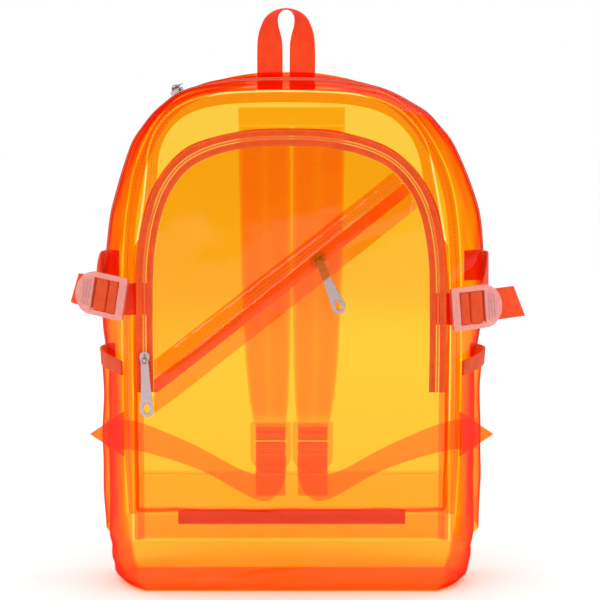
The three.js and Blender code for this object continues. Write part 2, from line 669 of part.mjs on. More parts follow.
// Zip pull: a long drop with a ring for the bail and an eye near its foot, hung from the origin along -y
function pull() {
  const drop = new THREE.Shape();
  const [neck, half] = [PULL_NECK / 2, PULL_WIDTH / 2];
  const ringOuter = PULL_RING + PULL_WIRE / 2;
  const centre = -PULL_LENGTH + half;
  drop.moveTo(-ringOuter, -PULL_RING);
  drop.lineTo(-neck, -3 * PULL_RING);
  drop.quadraticCurveTo(-neck, centre / 2, -half, centre);
  drop.absarc(0, centre, half, Math.PI, 2 * Math.PI, false);
  drop.quadraticCurveTo(neck, centre / 2, neck, -3 * PULL_RING);
  drop.lineTo(ringOuter, -PULL_RING);
  drop.absarc(0, -PULL_RING, ringOuter, 0, Math.PI, false);
  const window = new THREE.Path();
  window.absarc(0, -PULL_RING, PULL_RING - PULL_WIRE / 2, 0, 2 * Math.PI, true);
  const eye = new THREE.Path();
  eye.absellipse(0, centre + 1, ...PULL_EYE, 0, 2 * Math.PI, true);
  drop.holes.push(window, eye);
  const plate = new THREE.ExtrudeGeometry(drop, { depth: PULL_THICK, bevelEnabled: false, curveSegments: 5 });
  return plate.translate(0, 0, -PULL_THICK / 2);
}

// Puts a slider and its pull on a surface: travel direction, outward direction, and how the pull is swung
function addSlider(name, at, travel, outward, swing) {
  const place = new THREE.Group();
  const across = travel.clone().cross(outward).normalize();
  const upright = outward.clone().cross(across).normalize();
  place.setRotationFromMatrix(new THREE.Matrix4().makeBasis(across, upright, outward.clone().normalize()));
  place.position.copy(at);
  group.add(place);
  add(`${name}_slider`, slider(), metal, place);
  const hung = new THREE.Group();
  hung.position.z = HINGE_HEIGHT;
  hung.rotation.z = swing;
  place.add(hung);
  add(`${name}_pull`, pull(), metal, hung);
}

const coilMiddle = (zipInsets.coil[0] + zipInsets.coil[1]) / 2;
const pocketSliderPlace = archPlace(pocketArch, archAtHeight(pocketArch, POCKET_SLIDER_HEIGHT), coilMiddle);
const coilFaceY = pocketTapeY - TAPE - (COIL_THICK - TAPE) / 2;
addSlider('pocket_zip', vector(pocketSliderPlace.x, coilFaceY - FIT, pocketSliderPlace.y),
  vector(0, 0, 1), vector(0, -1, 0), POCKET_PULL_LEAN);

const flapSlider = diagonalPlace(FLAP_SLIDER_ALONG, FLAP_ZIP_AT);
const flapTravel = vector(Math.cos(FLAP_ANGLE), 0, Math.sin(FLAP_ANGLE));
addSlider('diagonal_zip', vector(flapSlider.x, pocketFaceY(flapSlider.x, flapSlider.y) - FIT, flapSlider.y),
  flapTravel, vector(0, -1, 0), Math.PI / 2 - FLAP_ANGLE + FLAP_PULL_LEAN);

const mainSliderU = archAtHeight(crestArch, MAIN_SLIDER_HEIGHT);
const mainSliderAt = gusset(mainSliderU, ZIP_AT);
const mainTravel = gusset(mainSliderU + 0.01, ZIP_AT).sub(gusset(mainSliderU - 0.01, ZIP_AT)).normalize();
const mainSideways = gusset(mainSliderU, ZIP_AT + 0.02).sub(gusset(mainSliderU, ZIP_AT - 0.02)).normalize();
const mainOutward = mainTravel.clone().cross(mainSideways).normalize();
addSlider('main_zip', mainSliderAt.addScaledVector(mainOutward, (COIL_THICK - TAPE) / 2 + FIT),
  mainTravel, mainOutward, -Math.PI / 2);

// Side pockets: an outer sheet on each side panel, open at the rim, with a bound edge
function sidePocketPlace(side, height, t) {
  const u = archAtHeight(crestArch, height);
  const span = (t - SIDE_POCKET_FRONT) / (SIDE_POCKET_BACK - SIDE_POCKET_FRONT);
  const along = side === 'left' ? u : 1 - u;
  const place = gusset(along, t);
  const forward = gusset(along, Math.min(t + 0.01, 1)).sub(gusset(along, Math.max(t - 0.01, 0)));
  const sign = side === 'left' ? 1 : -1;
  const outward = vector(-forward.y * sign, forward.x * sign, 0).normalize();
  const rise = (height - BOOT_HEIGHT) / (SIDE_POCKET_RIM - BOOT_HEIGHT);
  const filled = THREE.MathUtils.smoothstep(rise, 0, SIDE_POCKET_FULL_BY);
  const fullness = Math.sin(Math.PI * span ** 0.8) * mix(SIDE_POCKET_FOOT, 1, filled);
  return place.addScaledVector(outward, FIT + PVC + SIDE_POCKET_BULGE * fullness);
}
function sidePocket(side, low, high, steps, thickness) {
  const surface = (u, v) => sidePocketPlace(side, mix(low, high, u), mix(SIDE_POCKET_FRONT, SIDE_POCKET_BACK, v));
  return sheet(surface, { steps, thickness, offset: thickness - PVC, flip: side === 'right' });
}
for (const side of ['left', 'right']) {
  const low = BOOT_HEIGHT + 2 * FIT;
  add(`side_pocket_${side}`, sidePocket(side, low, SIDE_POCKET_RIM, [5, 8], PVC), clearPvc);
  add(`side_pocket_binding_${side}`, sidePocket(side, SIDE_POCKET_RIM + FIT,
    SIDE_POCKET_RIM + SIDE_BINDING_HEIGHT, [1, 8], SIDE_BINDING_THICK), zipCloth);
}

// Ladder buckle, drawn with its inner end on x = 0, its tab along +x and its front face on y = 0
const endBarTo = BUCKLE_END_BAR;
const innerBar = [endBarTo + BUCKLE_INNER_SLOT, endBarTo + BUCKLE_INNER_SLOT + BUCKLE_INNER_BAR];
const outerBar = [innerBar[1] + BUCKLE_MIDDLE_SLOT, innerBar[1] + BUCKLE_MIDDLE_SLOT + BUCKLE_OUTER_BAR];
const tabFrom = outerBar[1] + BUCKLE_OUTER_SLOT;
function ladderBuckle() {
  const half = BUCKLE_WIDTH / 2;
  const frame = new THREE.Shape();
  frame.moveTo(0, -half);
  frame.lineTo(tabFrom, -half);
  frame.absellipse(tabFrom, 0, BUCKLE_TAB, half, -Math.PI / 2, Math.PI / 2, false);
  frame.lineTo(0, half);
  const opening = new THREE.Path();
  const openHalf = half - BUCKLE_RAIL;
  opening.moveTo(endBarTo, -openHalf);
  opening.lineTo(endBarTo, openHalf);
  opening.lineTo(tabFrom, openHalf);
  opening.lineTo(tabFrom, -openHalf);
  opening.closePath();
  frame.holes.push(opening);
  const rim = new THREE.ExtrudeGeometry(frame, { depth: BUCKLE_THICK, bevelEnabled: false, curveSegments: 10 });
  rim.rotateX(Math.PI / 2).translate(0, BUCKLE_THICK, 0);
  const bars = [innerBar, outerBar].map(([from, to]) => {
    const bar = new THREE.BoxGeometry(to - from, BUCKLE_BAR_THICK, BUCKLE_WIDTH - BUCKLE_RAIL);
    return bar.translate((from + to) / 2, BUCKLE_THICK - BUCKLE_BAR_THICK / 2, 0);
  });
  return joined(rim, ...bars);
}

// Webbing through a buckle, as distance along the buckle and depth behind its front face
const behind = BUCKLE_THICK + FIT + WEB_THICK / 2;
const secondLayer = behind + WEB_THICK + 2 * FIT;
const overBar = BUCKLE_THICK - BUCKLE_BAR_THICK - FIT - WEB_THICK / 2;
const besideBar = WEB_THICK / 2 + 2 * FIT + 0.1;
function roundBar([from, to]) {
  return [
    [from - besideBar, BUCKLE_THICK + 0.4],
    [from - besideBar, BUCKLE_THICK - 1.4],
    [from - besideBar + 0.2, overBar + 0.3],
    [from + 0.3, overBar],
    [to - 0.3, overBar],
    [to + besideBar - 0.2, overBar + 0.3],
    [to + besideBar, BUCKLE_THICK - 1.4],
    [to + besideBar, BUCKLE_THICK + 0.4],
  ];
}
const fixedPass = [
  [0.5, behind],
  [endBarTo - 0.5, behind],
  ...roundBar(innerBar),
  [innerBar[1] + besideBar - 0.9, secondLayer - 0.9],
  [innerBar[1] - 1.5, secondLayer],
  [BUCKLE_END_BAR / 2, secondLayer],
];
const adjustPass = [
  [tabFrom - 2, secondLayer],
  [outerBar[0] + 1.2, secondLayer],
  [outerBar[0] - besideBar + 0.9, secondLayer - 0.9],
  ...roundBar(outerBar),
  [tabFrom + 0.6, behind],
  [BUCKLE_LENGTH - 4, behind],
];

function sideBuckleFrame({ sign, x, height, turn, tip }) {
  const level = vector(sign * Math.cos(turn), Math.sin(turn), 0);
  const along = level.clone().multiplyScalar(Math.cos(tip)).add(vector(0, 0, Math.sin(tip)));
  const across = level.clone().multiplyScalar(-Math.sin(tip)).add(vector(0, 0, Math.cos(tip)));
  const depth = vector(-sign * Math.sin(turn), Math.cos(turn), 0);
  const origin = vector(sign * x, BUCKLE_Y, height);
  const place = (distance, back) => origin.clone().addScaledVector(along, distance).addScaledVector(depth, back);
  return { along, across, depth, origin, place };
}

function addSideStrap(side) {
  const setup = SIDES[side];
  const frame = sideBuckleFrame(setup);
  const basis = new THREE.Matrix4().makeBasis(frame.along, frame.depth, frame.across);
  basis.setPosition(frame.origin);
  const buckle = ladderBuckle().applyMatrix4(basis);
  add(`side_buckle_${side}`, facingOut(buckle), frosted);

  const station = ([distance, back]) => ({ at: frame.place(distance, back), across: frame.across });
  const upright = vector(0, 0, 1);
  const anchorX = setup.sign * FIXED_END;
  const onPanel = (x, z) => vector(x, frontFaceY(x, z) - FIT - WEB_THICK / 2, z);
  const fixed = [
    { at: onPanel(anchorX, setup.height), across: upright },
    { at: onPanel(anchorX + setup.sign * FIXED_FLAT, setup.height), across: upright },
    { at: vector(setup.sign * (FRONT_HALF - 1), FRONT_Y - 3, setup.height), across: upright },
    ...fixedPass.map(station),
  ];
  add(`side_strap_fixed_${side}`, ribbon(fixed, { perStation: 2 }), webbing);

  const gussetU = archAtHeight(crestArch, SIDE_ANCHOR_HEIGHT);
  const along = side === 'left' ? gussetU : 1 - gussetU;
  const onGusset = (t, lift) => {
    const place = gusset(along, t);
    const forward = gusset(along, Math.min(t + 0.01, 1)).sub(gusset(along, t - 0.01));
    const outward = vector(forward.y * setup.sign, -forward.x * setup.sign, 0).normalize();
    return { at: place.addScaledVector(outward, FIT + WEB_THICK / 2 + lift), across: upright };
  };
  const tailAcross = frame.across.clone().applyAxisAngle(frame.depth, -setup.sign * setup.tailRoll);
  const adjust = [
    onGusset(0.985, FIT),
    onGusset(0.85, 2 * FIT),
    onGusset(0.68, 3 * FIT),
    onGusset(0.5, ADJUST_STAND_OFF),
    ...adjustPass.map(station),
    { at: frame.place(setup.tail, behind + TAIL_STAND_OFF), across: tailAcross },
  ];
  add(`side_strap_adjust_${side}`, ribbon(adjust, { perStation: 2, cutSlant: -setup.sign * TAIL_SLANT }), webbing);
  return fixed;
}
const fixedStraps = { left: addSideStrap('left'), right: addSideStrap('right') };

// The pocket's wall is notched where the fixed straps pass under it
for (const side of ['left', 'right']) {
  const clearance = 2 * FIT;
  const passage = ribbon(fixedStraps[side].slice(0, 7), {
    perStation: 2,
    width: WEB_WIDTH + 2 * clearance,
    thickness: WEB_THICK + 2 * clearance,
  });
  pocketWall = cutAway(pocketWall, passage);
}
add('pocket_wall', pocketWall, clearPvc);

// Carry handle: legs flat against the back, turned edge-on over the top
function handle() {
  const foot = BACK_TOP - HANDLE_SEWN;
  const sewnY = backFaceY(HANDLE_HALF_SPAN, foot) + FIT + WEB_THICK / 2;
  const bend = HANDLE_HALF_SPAN;
  const crown = BACK_TOP + HANDLE_RISE - bend;
  const knee = mix(BACK_TOP, crown, 0.55);
  const kneeTurn = 0.2;
  const crownTurn = 0.9;
  const crownSteps = 6;
  const stations = [];
  const station = (x, z, turn) => stations.push({
    at: vector(x + TOP_LEAN, sewnY, z),
    across: vector(Math.cos(turn), Math.sin(turn), 0),
  });
  station(-HANDLE_HALF_SPAN, foot, 0);
  station(-HANDLE_HALF_SPAN, BACK_TOP, 0);
  station(-HANDLE_HALF_SPAN, knee, kneeTurn);
  for (let step = 0; step <= crownSteps; step += 1) {
    const share = step / crownSteps;
    const angle = Math.PI * (1 - share);
    const turn = mix(crownTurn, Math.PI - crownTurn, share);
    station(bend * Math.cos(angle), crown + bend * Math.sin(angle), turn);
  }
  station(HANDLE_HALF_SPAN, knee, Math.PI - kneeTurn);
  station(HANDLE_HALF_SPAN, BACK_TOP, Math.PI);
  station(HANDLE_HALF_SPAN, foot, Math.PI);
  return ribbon(stations, { width: HANDLE_WIDTH, perStation: 2 });
}
add('carry_handle', handle(), webbing);

// Shoulder straps on the back, their yoke, lower buckles and webbing
const strapBackY = BACK_Y + BACK_BULGE + FIT;
const strapBow = (z) => STRAP_BOW * Math.sin(Math.PI * THREE.MathUtils.clamp(
  (z - STRAP_BOTTOM) / (STRAP_TOP - STRAP_BOTTOM), 0, 1));
function strapEdge(down, edge) {
  const row = Math.max(STRAP_EDGES.findIndex((entry) => entry.down >= down), 1);
  const [above, below] = [STRAP_EDGES[row - 1], STRAP_EDGES[row]];
  return mix(above[edge], below[edge], (down - above.down) / (below.down - above.down)) * STRAP_WIDTH;
}
function shoulderStrap(sign) {
  const surface = (u, v) => {
    const z = mix(STRAP_TOP, STRAP_BOTTOM, u);
    const x = sign * (FIT + mix(strapEdge(u, 'inner'), strapEdge(u, 'outer'), v));
    return vector(x, strapBackY + strapBow(z) + STRAP_THICK, z);
  };
  return sheet(surface, { steps: [12, 3], thickness: STRAP_THICK, flip: sign > 0 });
}
const yokeOutline = [[-1, 0], [1, 0], [1, 1], [-1, 1]].map(([across, up]) => new THREE.Vector2(
  across * STRAP_WIDTH,
  mix(STRAP_TOP + FIT, STRAP_TOP + YOKE_HEIGHT, up),
));
add('strap_yoke', prism(yokeOutline, strapBackY, strapBackY + 2 * PVC), clearPvc);

const tabMiddle = (TAB_LOW + TAB_HIGH) / 2;
const ladderAcross = 0.4 * STRAP_WIDTH;
const tabSewn = 14;
for (const [side, sign] of [['left', -1], ['right', 1]]) {
  add(`shoulder_strap_${side}`, shoulderStrap(sign), padding);
  const hung = new THREE.Matrix4().makeBasis(vector(0, 0, -1), vector(0, -1, 0), vector(-1, 0, 0));
  const ladderFront = strapBackY + STRAP_THICK;
  hung.setPosition(sign * ladderAcross, ladderFront, STRAP_BOTTOM - FIT);
  add(`strap_ladder_${side}`, facingOut(ladderBuckle().applyMatrix4(hung)), frosted);

  const station = ([distance, back]) => ({
    at: vector(sign * ladderAcross, ladderFront - back, STRAP_BOTTOM - FIT - distance),
    across: vector(sign, 0, 0),
  });
  add(`strap_loop_${side}`, ribbon(fixedPass.map(station), { perStation: 1 }), webbing);

  const tabBase = BACK_HALF * 0.985;
  const tab = [
    new THREE.Vector2(sign * tabBase, TAB_LOW),
    new THREE.Vector2(sign * TAB_REACH, tabMiddle),
    new THREE.Vector2(sign * tabBase, TAB_HIGH),
  ];
  const tabY = BACK_Y + FIT;
  add(`corner_tab_${side}`, prism(tab, tabY, tabY + PVC), clearPvc);

  const onTab = tabY + PVC + FIT + WEB_THICK / 2;
  const onBack = ladderFront - secondLayer;
  const turnFrom = ladderAcross + LOWER_TURN;
  const turnZ = STRAP_BOTTOM - BUCKLE_LENGTH - 1;
  const lower = [
    { at: vector(sign * (TAB_REACH - tabSewn), onTab, tabMiddle), across: vector(0, 0, 1) },
    { at: vector(sign * (BACK_HALF - 12), mix(onTab, onBack, 0.5), tabMiddle - 2), across: vector(sign * 0.1, 0, 1) },
    { at: vector(sign * mix(turnFrom, BACK_HALF, 0.4), onBack, mix(turnZ, tabMiddle, 0.4)),
      across: vector(sign * 0.4, 0, 1) },
    { at: vector(sign * turnFrom, onBack, turnZ - 0.5 * LOWER_TURN), across: vector(sign * 0.35, 0, 1) },
    { at: vector(sign * (ladderAcross + 0.35 * LOWER_TURN), onBack, turnZ - 0.6 * LOWER_TURN),
      across: vector(sign * 0.5, 0, 0.9) },
    { at: vector(sign * ladderAcross, onBack, turnZ), across: vector(sign, 0, 0) },
    ...adjustPass.map(station),
    { at: vector(sign * ladderAcross, ladderFront - behind, TAIL_FOOT), across: vector(sign, 0, 0) },
  ];
  add(`lower_webbing_${side}`, ribbon(lower, { perStation: 2 }), webbing);
}

const baseTapeOutline = [[-1, -1], [1, -1], [1, 1], [-1, 1]].map(([across, up]) => new THREE.Vector2(
  (across * BASE_TAPE_LENGTH) / 2,
  BOOT_HEIGHT - 2 + (up * BASE_TAPE_HEIGHT) / 2,
));
add('back_base_tape', prism(baseTapeOutline, BACK_Y + FIT, BACK_Y + FIT + TAPE), zipCloth);

export default group;
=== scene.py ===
"""Looks of the see-through backpack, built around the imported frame.

Shapes are worked out in millimetres, +Z up, the front facing -Y, and turned into metres when a mesh is made.
"""
import math

import bpy
import numpy as np
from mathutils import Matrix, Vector
from mathutils.geometry import delaunay_2d_cdt


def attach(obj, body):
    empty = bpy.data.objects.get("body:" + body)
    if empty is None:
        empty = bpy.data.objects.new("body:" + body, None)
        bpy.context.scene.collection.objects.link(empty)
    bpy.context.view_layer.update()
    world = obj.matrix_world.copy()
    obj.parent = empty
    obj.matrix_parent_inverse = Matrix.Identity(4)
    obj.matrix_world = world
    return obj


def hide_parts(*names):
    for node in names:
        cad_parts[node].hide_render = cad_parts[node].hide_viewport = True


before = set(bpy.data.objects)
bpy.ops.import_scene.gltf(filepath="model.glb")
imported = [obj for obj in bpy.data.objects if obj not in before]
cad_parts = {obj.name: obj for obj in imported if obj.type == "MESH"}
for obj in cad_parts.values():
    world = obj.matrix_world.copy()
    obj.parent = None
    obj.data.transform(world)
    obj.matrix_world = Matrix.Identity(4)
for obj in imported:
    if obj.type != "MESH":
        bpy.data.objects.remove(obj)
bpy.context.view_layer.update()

MM = 0.001

# Stock
CAD_WALL = 1.2
WALL = 0.8
FIT = 0.3
TAPE = 1.0
WEB_WIDTH = 25
WEB_THICK = 1.4

# Body
BODY_DEPTH = 118
BOOT_HEIGHT = 43
FRONT_HALF = 127
FRONT_TOP = 401.5
CREST_HALF = 154
CREST_TOP = 407
BACK_HALF = 142
BACK_TOP = 413
CREST_AT = 0.45
FRONT_BULGE = 6
BACK_BULGE = 3
TOP_LEAN = -4.5
LEAN_FROM = 300
CREST_SHIFT = 3
SHIFT_FROM = 190
SHIFT_FULL = 290
SHIFT_FADES = 378
SHIFT_ENDS = 398
BINDING_WIDTH = 8
FRONT_Y = -BODY_DEPTH / 2
BACK_Y = BODY_DEPTH / 2
SEAM_INSET = CAD_WALL + 2.5 * FIT

# Main zip
ZIP_END_HEIGHT = 190
ZIP_AT = 0.56
ZIP_TAPE_WIDTH = 8
COIL_WIDTH = 2.4
COIL_THICK = 2.2
MAIN_SLIDER_HEIGHT = 396

# Front pocket
POCKET_HALF = 122
POCKET_BOTTOM = 69
POCKET_TOP = 372.5
POCKET_DEPTH = 19
POCKET_BULGE = 7
POCKET_BAND_HEIGHT = 34
POCKET_TAPE_WIDTH = 5
POCKET_ZIP_FOOT = 165
POCKET_SLIDER_HEIGHT = 192
INNER_SHEET_SET_BACK = 4
POCKET_FACE_Y = FRONT_Y - POCKET_DEPTH

# Diagonal flap
FLAP_ANGLE = math.radians(38.3)
FLAP_CENTRE_HEIGHT = 275.6
FLAP_WIDTH = 33
FLAP_LIFT = 7.4
FLAP_ZIP_AT = 17
FLAP_ZIP_WIDTH = 9.4
FLAP_SLIDER_ALONG = 13.8
FLAP_PULL_LEAN = math.radians(23)

# Side pockets
SIDE_POCKET_RIM = 178
SIDE_POCKET_BULGE = 3.6
SIDE_POCKET_FOOT = 0.35
SIDE_POCKET_FULL_BY = 0.4
SIDE_POCKET_FRONT = 0.1
SIDE_POCKET_BACK = 0.9
SIDE_BINDING_HEIGHT = 12
SIDE_BINDING_THICK = 2

# Ladder buckle
BUCKLE_WIDTH = 34
BUCKLE_THICK = 4
BUCKLE_BAR_THICK = 2
BUCKLE_RAIL = 3.9
BUCKLE_END_BAR = 6.5
BUCKLE_INNER_SLOT = 2.9
BUCKLE_INNER_BAR = 3.6
BUCKLE_MIDDLE_SLOT = 5.3
BUCKLE_OUTER_BAR = 6
BUCKLE_OUTER_SLOT = 3.9
BUCKLE_TAB = 14.3
INNER_BAR = (BUCKLE_END_BAR + BUCKLE_INNER_SLOT, BUCKLE_END_BAR + BUCKLE_INNER_SLOT + BUCKLE_INNER_BAR)
OUTER_BAR = (INNER_BAR[1] + BUCKLE_MIDDLE_SLOT, INNER_BAR[1] + BUCKLE_MIDDLE_SLOT + BUCKLE_OUTER_BAR)
TAB_FROM = OUTER_BAR[1] + BUCKLE_OUTER_SLOT
BUCKLE_LENGTH = TAB_FROM + BUCKLE_TAB
BUCKLE_Y = FRONT_Y - 13
SIDES = {
    "left": {"sign": -1, "x": 131, "height": 237, "turn": 0.35, "tip": 0.17, "tail": 46, "roll": 0.35},
    "right": {"sign": 1, "x": 127, "height": 229, "turn": 0.35, "tip": 0.08, "tail": 60, "roll": 0.1},
}
SIDE_ANCHOR_HEIGHT = 255
FIXED_END = 112

# Carrying
HANDLE_RISE = 51
HANDLE_HALF_SPAN = 13.4
HANDLE_WIDTH = 21
HANDLE_SEWN = 15
STRAP_WIDTH = 44
STRAP_THICK = 8
STRAP_TOP = 368
STRAP_BOTTOM = 120
STRAP_BOW = 10
YOKE_HEIGHT = 15
LOWER_TURN = 18
TAIL_FOOT = 58
TAB_LOW = 92
TAB_HIGH = 130
TAB_REACH = 168.5
BASE_TAPE_LENGTH = 190
BASE_TAPE_HEIGHT = 12

# Slider and pull
SLIDER_WIDTH = 8
SLIDER_LENGTH = 11
SLIDER_THICK = 2.4
BAIL_INNER = 2.6
BAIL_WIRE = 0.9
PULL_THICK = 1
PULL_LENGTH = 46
PULL_RING = 2.2
PULL_WIRE = 0.9
PULL_NECK = 6.4
PULL_WIDTH = 11
PULL_EYE = (2.3, 3.8)
HINGE_HEIGHT = SLIDER_THICK + PULL_THICK / 2 + 0.4
POCKET_PULL_LEAN = math.radians(2.5)

# Half outlines as (share of the half width, share of the height above the foot)
FRONT_SEAM = [
    (1.0, 0.0), (1.0, 0.28), (1.0, 0.52), (0.98, 0.633), (0.937, 0.731), (0.902, 0.815), (0.882, 0.862),
    (0.843, 0.901), (0.78, 0.934), (0.693, 0.962), (0.583, 0.981), (0.433, 0.994), (0.2, 1.0),
]
CREST = [
    (0.963, 0.0), (0.96, 0.157), (0.957, 0.294), (0.964, 0.39), (0.985, 0.46), (0.988, 0.541),
    (0.974, 0.646), (0.955, 0.706), (0.918, 0.761), (0.874, 0.816), (0.827, 0.865), (0.772, 0.898),
    (0.717, 0.926), (0.648, 0.948), (0.578, 0.967), (0.5, 0.981), (0.38, 0.992), (0.208, 0.999),
]
BACK_SEAM = [
    (0.972, 0.0), (0.993, 0.154), (1.0, 0.424), (0.993, 0.586), (0.968, 0.695), (0.923, 0.776),
    (0.866, 0.83), (0.796, 0.878), (0.715, 0.916), (0.641, 0.941), (0.549, 0.959), (0.43, 0.976),
    (0.296, 0.989), (0.141, 0.997),
]
POCKET_EDGE = [
    (0.984, 0.0), (0.996, 0.267), (1.0, 0.53), (0.992, 0.662), (0.963, 0.745), (0.918, 0.81),
    (0.861, 0.86), (0.77, 0.909), (0.672, 0.942), (0.533, 0.969), (0.369, 0.987), (0.18, 0.997),
]
BOOT_FOOT = [(1.0, 0.0), (0.79, 0.02), (0.56, 0.05), (0.35, 0.07), (0.16, 0.11), (0.0, 0.25)]
STRAP_EDGES = [
    (0.0, 1.0, 0.0), (0.1, 1.0, 0.0), (0.5, 0.96, 0.0),
    (0.8, 0.88, 0.02), (0.93, 0.8, 0.05), (1.0, 0.72, 0.09),
]


def mix(a, b, share):
    return a + (b - a) * share


def smoothstep(value, low, high):
    share = np.clip((np.asarray(value, float) - low) / (high - low), 0, 1)
    return share * share * (3 - 2 * share)


def unit(vectors):
    vectors = np.asarray(vectors, float)
    return vectors / np.maximum(np.linalg.norm(vectors, axis=-1, keepdims=True), 1e-12)


def upright_points(x, z):
    """Points in the plane y = 0"""
    return np.stack([x, np.zeros_like(x), z], axis=-1)


def rectangle(half, low, high):
    """Outline in x and z, from -half to half"""
    return [(-half, low), (half, low), (half, high), (-half, high)]


def level(y):
    """A face at one y all over"""
    return lambda x, z: y + 0 * x


def catmull(points, per_step):
    """Points along a centripetal curve through the given ones"""
    points = np.array(points, float)
    padded = np.vstack([2 * points[0] - points[1], points, 2 * points[-1] - points[-2]])
    spans = np.maximum(np.linalg.norm(np.diff(padded, axis=0), axis=1), 1e-4) ** 0.5
    share = np.linspace(0, 1, per_step, endpoint=False)[:, None]
    pieces = []
    for index in range(1, len(padded) - 2):
        p0, p1, p2, p3 = padded[index - 1:index + 3]
        d0, d1, d2 = spans[index - 1:index + 2]
        start = ((p1 - p0) / d0 - (p2 - p0) / (d0 + d1) + (p2 - p1) / d1) * d1
        end = ((p2 - p1) / d1 - (p3 - p1) / (d1 + d2) + (p3 - p2) / d2) * d1
        square = -3 * p1 + 3 * p2 - 2 * start - end
        cube = 2 * p1 - 2 * p2 + start + end
        pieces.append(p1 + start * share + square * share ** 2 + cube * share ** 3)
    pieces.append(points[-1:])
    return np.vstack(pieces)


class Curve:
    """A curve measured by share of its length"""

    def __init__(self, points, per_step=60):
        self.points = catmull(points, per_step)
        steps = np.linalg.norm(np.diff(self.points, axis=0), axis=1)
        self.lengths = np.concatenate([[0], np.cumsum(steps)])
        self.length = self.lengths[-1]

    def at(self, share):
        place = np.asarray(share, float) * self.length
        return np.stack([np.interp(place, self.lengths, column) for column in self.points.T], axis=-1)

    def along(self, share):
        share = np.asarray(share, float)
        reach = 1e-3
        return unit(self.at(np.minimum(share + reach, 1)) - self.at(np.maximum(share - reach, 0)))

    def at_height(self, height):
        half = len(self.points) // 2
        return np.interp(height, self.points[:half, 1], self.lengths[:half]) / self.length

    def half_width(self, height):
        half = len(self.points) // 2
        widths = np.interp(height, self.points[:half, 1], np.abs(self.points[:half, 0]))
        return np.maximum(widths, FRONT_HALF / 5)


def arch(rows, half, bottom, top):
    left = [(-across * half, mix(bottom, top, up)) for across, up in rows]
    right = [(-x, z) for x, z in reversed(left)]
    return Curve(left + right)


front_arch = arch(FRONT_SEAM, FRONT_HALF, BOOT_HEIGHT + FIT, FRONT_TOP)
crest_arch = arch(CREST, CREST_HALF, BOOT_HEIGHT + FIT, CREST_TOP)
back_arch = arch(BACK_SEAM, BACK_HALF, BOOT_HEIGHT + FIT, BACK_TOP)
pocket_arch = arch(POCKET_EDGE, POCKET_HALF, POCKET_BOTTOM, POCKET_TOP)


def lean_at(z):
    return TOP_LEAN * smoothstep(z, LEAN_FROM, BACK_TOP)


def crest_shift(z):
    """How far the crest of the gusset stands to one side of the faces"""
    rising = smoothstep(z, SHIFT_FROM, SHIFT_FULL)
    return CREST_SHIFT * rising * (1 - smoothstep(z, SHIFT_FADES, SHIFT_ENDS))


def arch_place(curve, share, inset=0.0):
    """Place on an arch in x and z, moved inward"""
    place = curve.at(share)
    along = curve.along(share)
    x = place[..., 0] + inset * along[..., 1]
    z = place[..., 1] - inset * along[..., 0]
    return np.stack([x + lean_at(z), z], axis=-1)


def swell(x, z, curve, bottom, top):
    sideways = (x - lean_at(z)) / curve.half_width(z)
    upward = 2 * (z - bottom) / (top - bottom) - 1
    return (1 - sideways ** 2) * (1 - upward ** 4)


def front_face(x, z):
    return FRONT_Y - FRONT_BULGE * swell(x, z, front_arch, BOOT_HEIGHT, FRONT_TOP)


def back_face(x, z):
    return BACK_Y + BACK_BULGE * swell(x, z, back_arch, BOOT_HEIGHT, BACK_TOP)


def pocket_swell(x, z):
    return np.maximum(swell(x, z, pocket_arch, POCKET_BOTTOM, POCKET_TOP), 0)


def pocket_face(x, z):
    return POCKET_FACE_Y - POCKET_BULGE * pocket_swell(x, z)


def gusset(along, across):
    """The gusset as a quadratic from the front seam through the crest to the back seam"""
    along, across = np.broadcast_arrays(np.asarray(along, float), np.asarray(across, float))
    front, crest, back = (curve.at(along) for curve in (front_arch, crest_arch, back_arch))
    crest = np.stack([crest[..., 0] + crest_shift(crest[..., 1]), crest[..., 1]], axis=-1)
    shares = (
        (across - CREST_AT) * (across - 1) / CREST_AT,
        across * (across - 1) / (CREST_AT * (CREST_AT - 1)),
        across * (across - CREST_AT) / (1 - CREST_AT),
    )
    points = (front, crest, back)
    x, z = (sum(point[..., axis] * share for point, share in zip(points, shares)) for axis in (0, 1))
    return np.stack([x + lean_at(z), mix(FRONT_Y, BACK_Y, across), z], axis=-1)


def gusset_out(along, across):
    """Outward direction of the gusset"""
    reach = 2e-3
    ahead = gusset(np.minimum(along + reach, 1), across) - gusset(np.maximum(along - reach, 0), across)
    back = gusset(along, np.minimum(across + reach, 1)) - gusset(along, np.maximum(across - reach, 0))
    return unit(np.cross(ahead, back))


def ripple(points, size, seed, count=7):
    """Smooth uneven waves between about -1 and 1"""
    draw = np.random.RandomState(seed)
    total = np.zeros(points.shape[:-1])
    for _ in range(count):
        direction = unit(draw.normal(size=3))
        wave = size * draw.uniform(0.6, 1.6)
        total += np.sin(points @ direction * 2 * math.pi / wave + draw.uniform(0, 2 * math.pi))
    return total / count ** 0.5


# Meshes
def new_object(name, points, faces, uvs=None, smooth=True, sharp=35):
    mesh = bpy.data.meshes.new(name)
    mesh.from_pydata([tuple(point) for point in np.asarray(points) * MM], [], [tuple(face) for face in faces])
    mesh.validate()
    if uvs is not None:
        layer = mesh.uv_layers.new(name="metres")
        index = np.empty(len(mesh.loops), dtype=int)
        mesh.loops.foreach_get("vertex_index", index)
        layer.data.foreach_set("uv", (np.asarray(uvs)[index] * MM).ravel())
    if smooth:
        mesh.shade_smooth()
        mesh.set_sharp_from_angle(angle=math.radians(sharp))
    obj = bpy.data.objects.new(name, mesh)
    bpy.context.scene.collection.objects.link(obj)
    return obj


def volume_of(points, faces):
    total = 0.0
    for face in faces:
        first = points[face[0]]
        for second, third in zip(face[1:-1], face[2:]):
            total += np.dot(first, np.cross(points[second], points[third]))
    return total


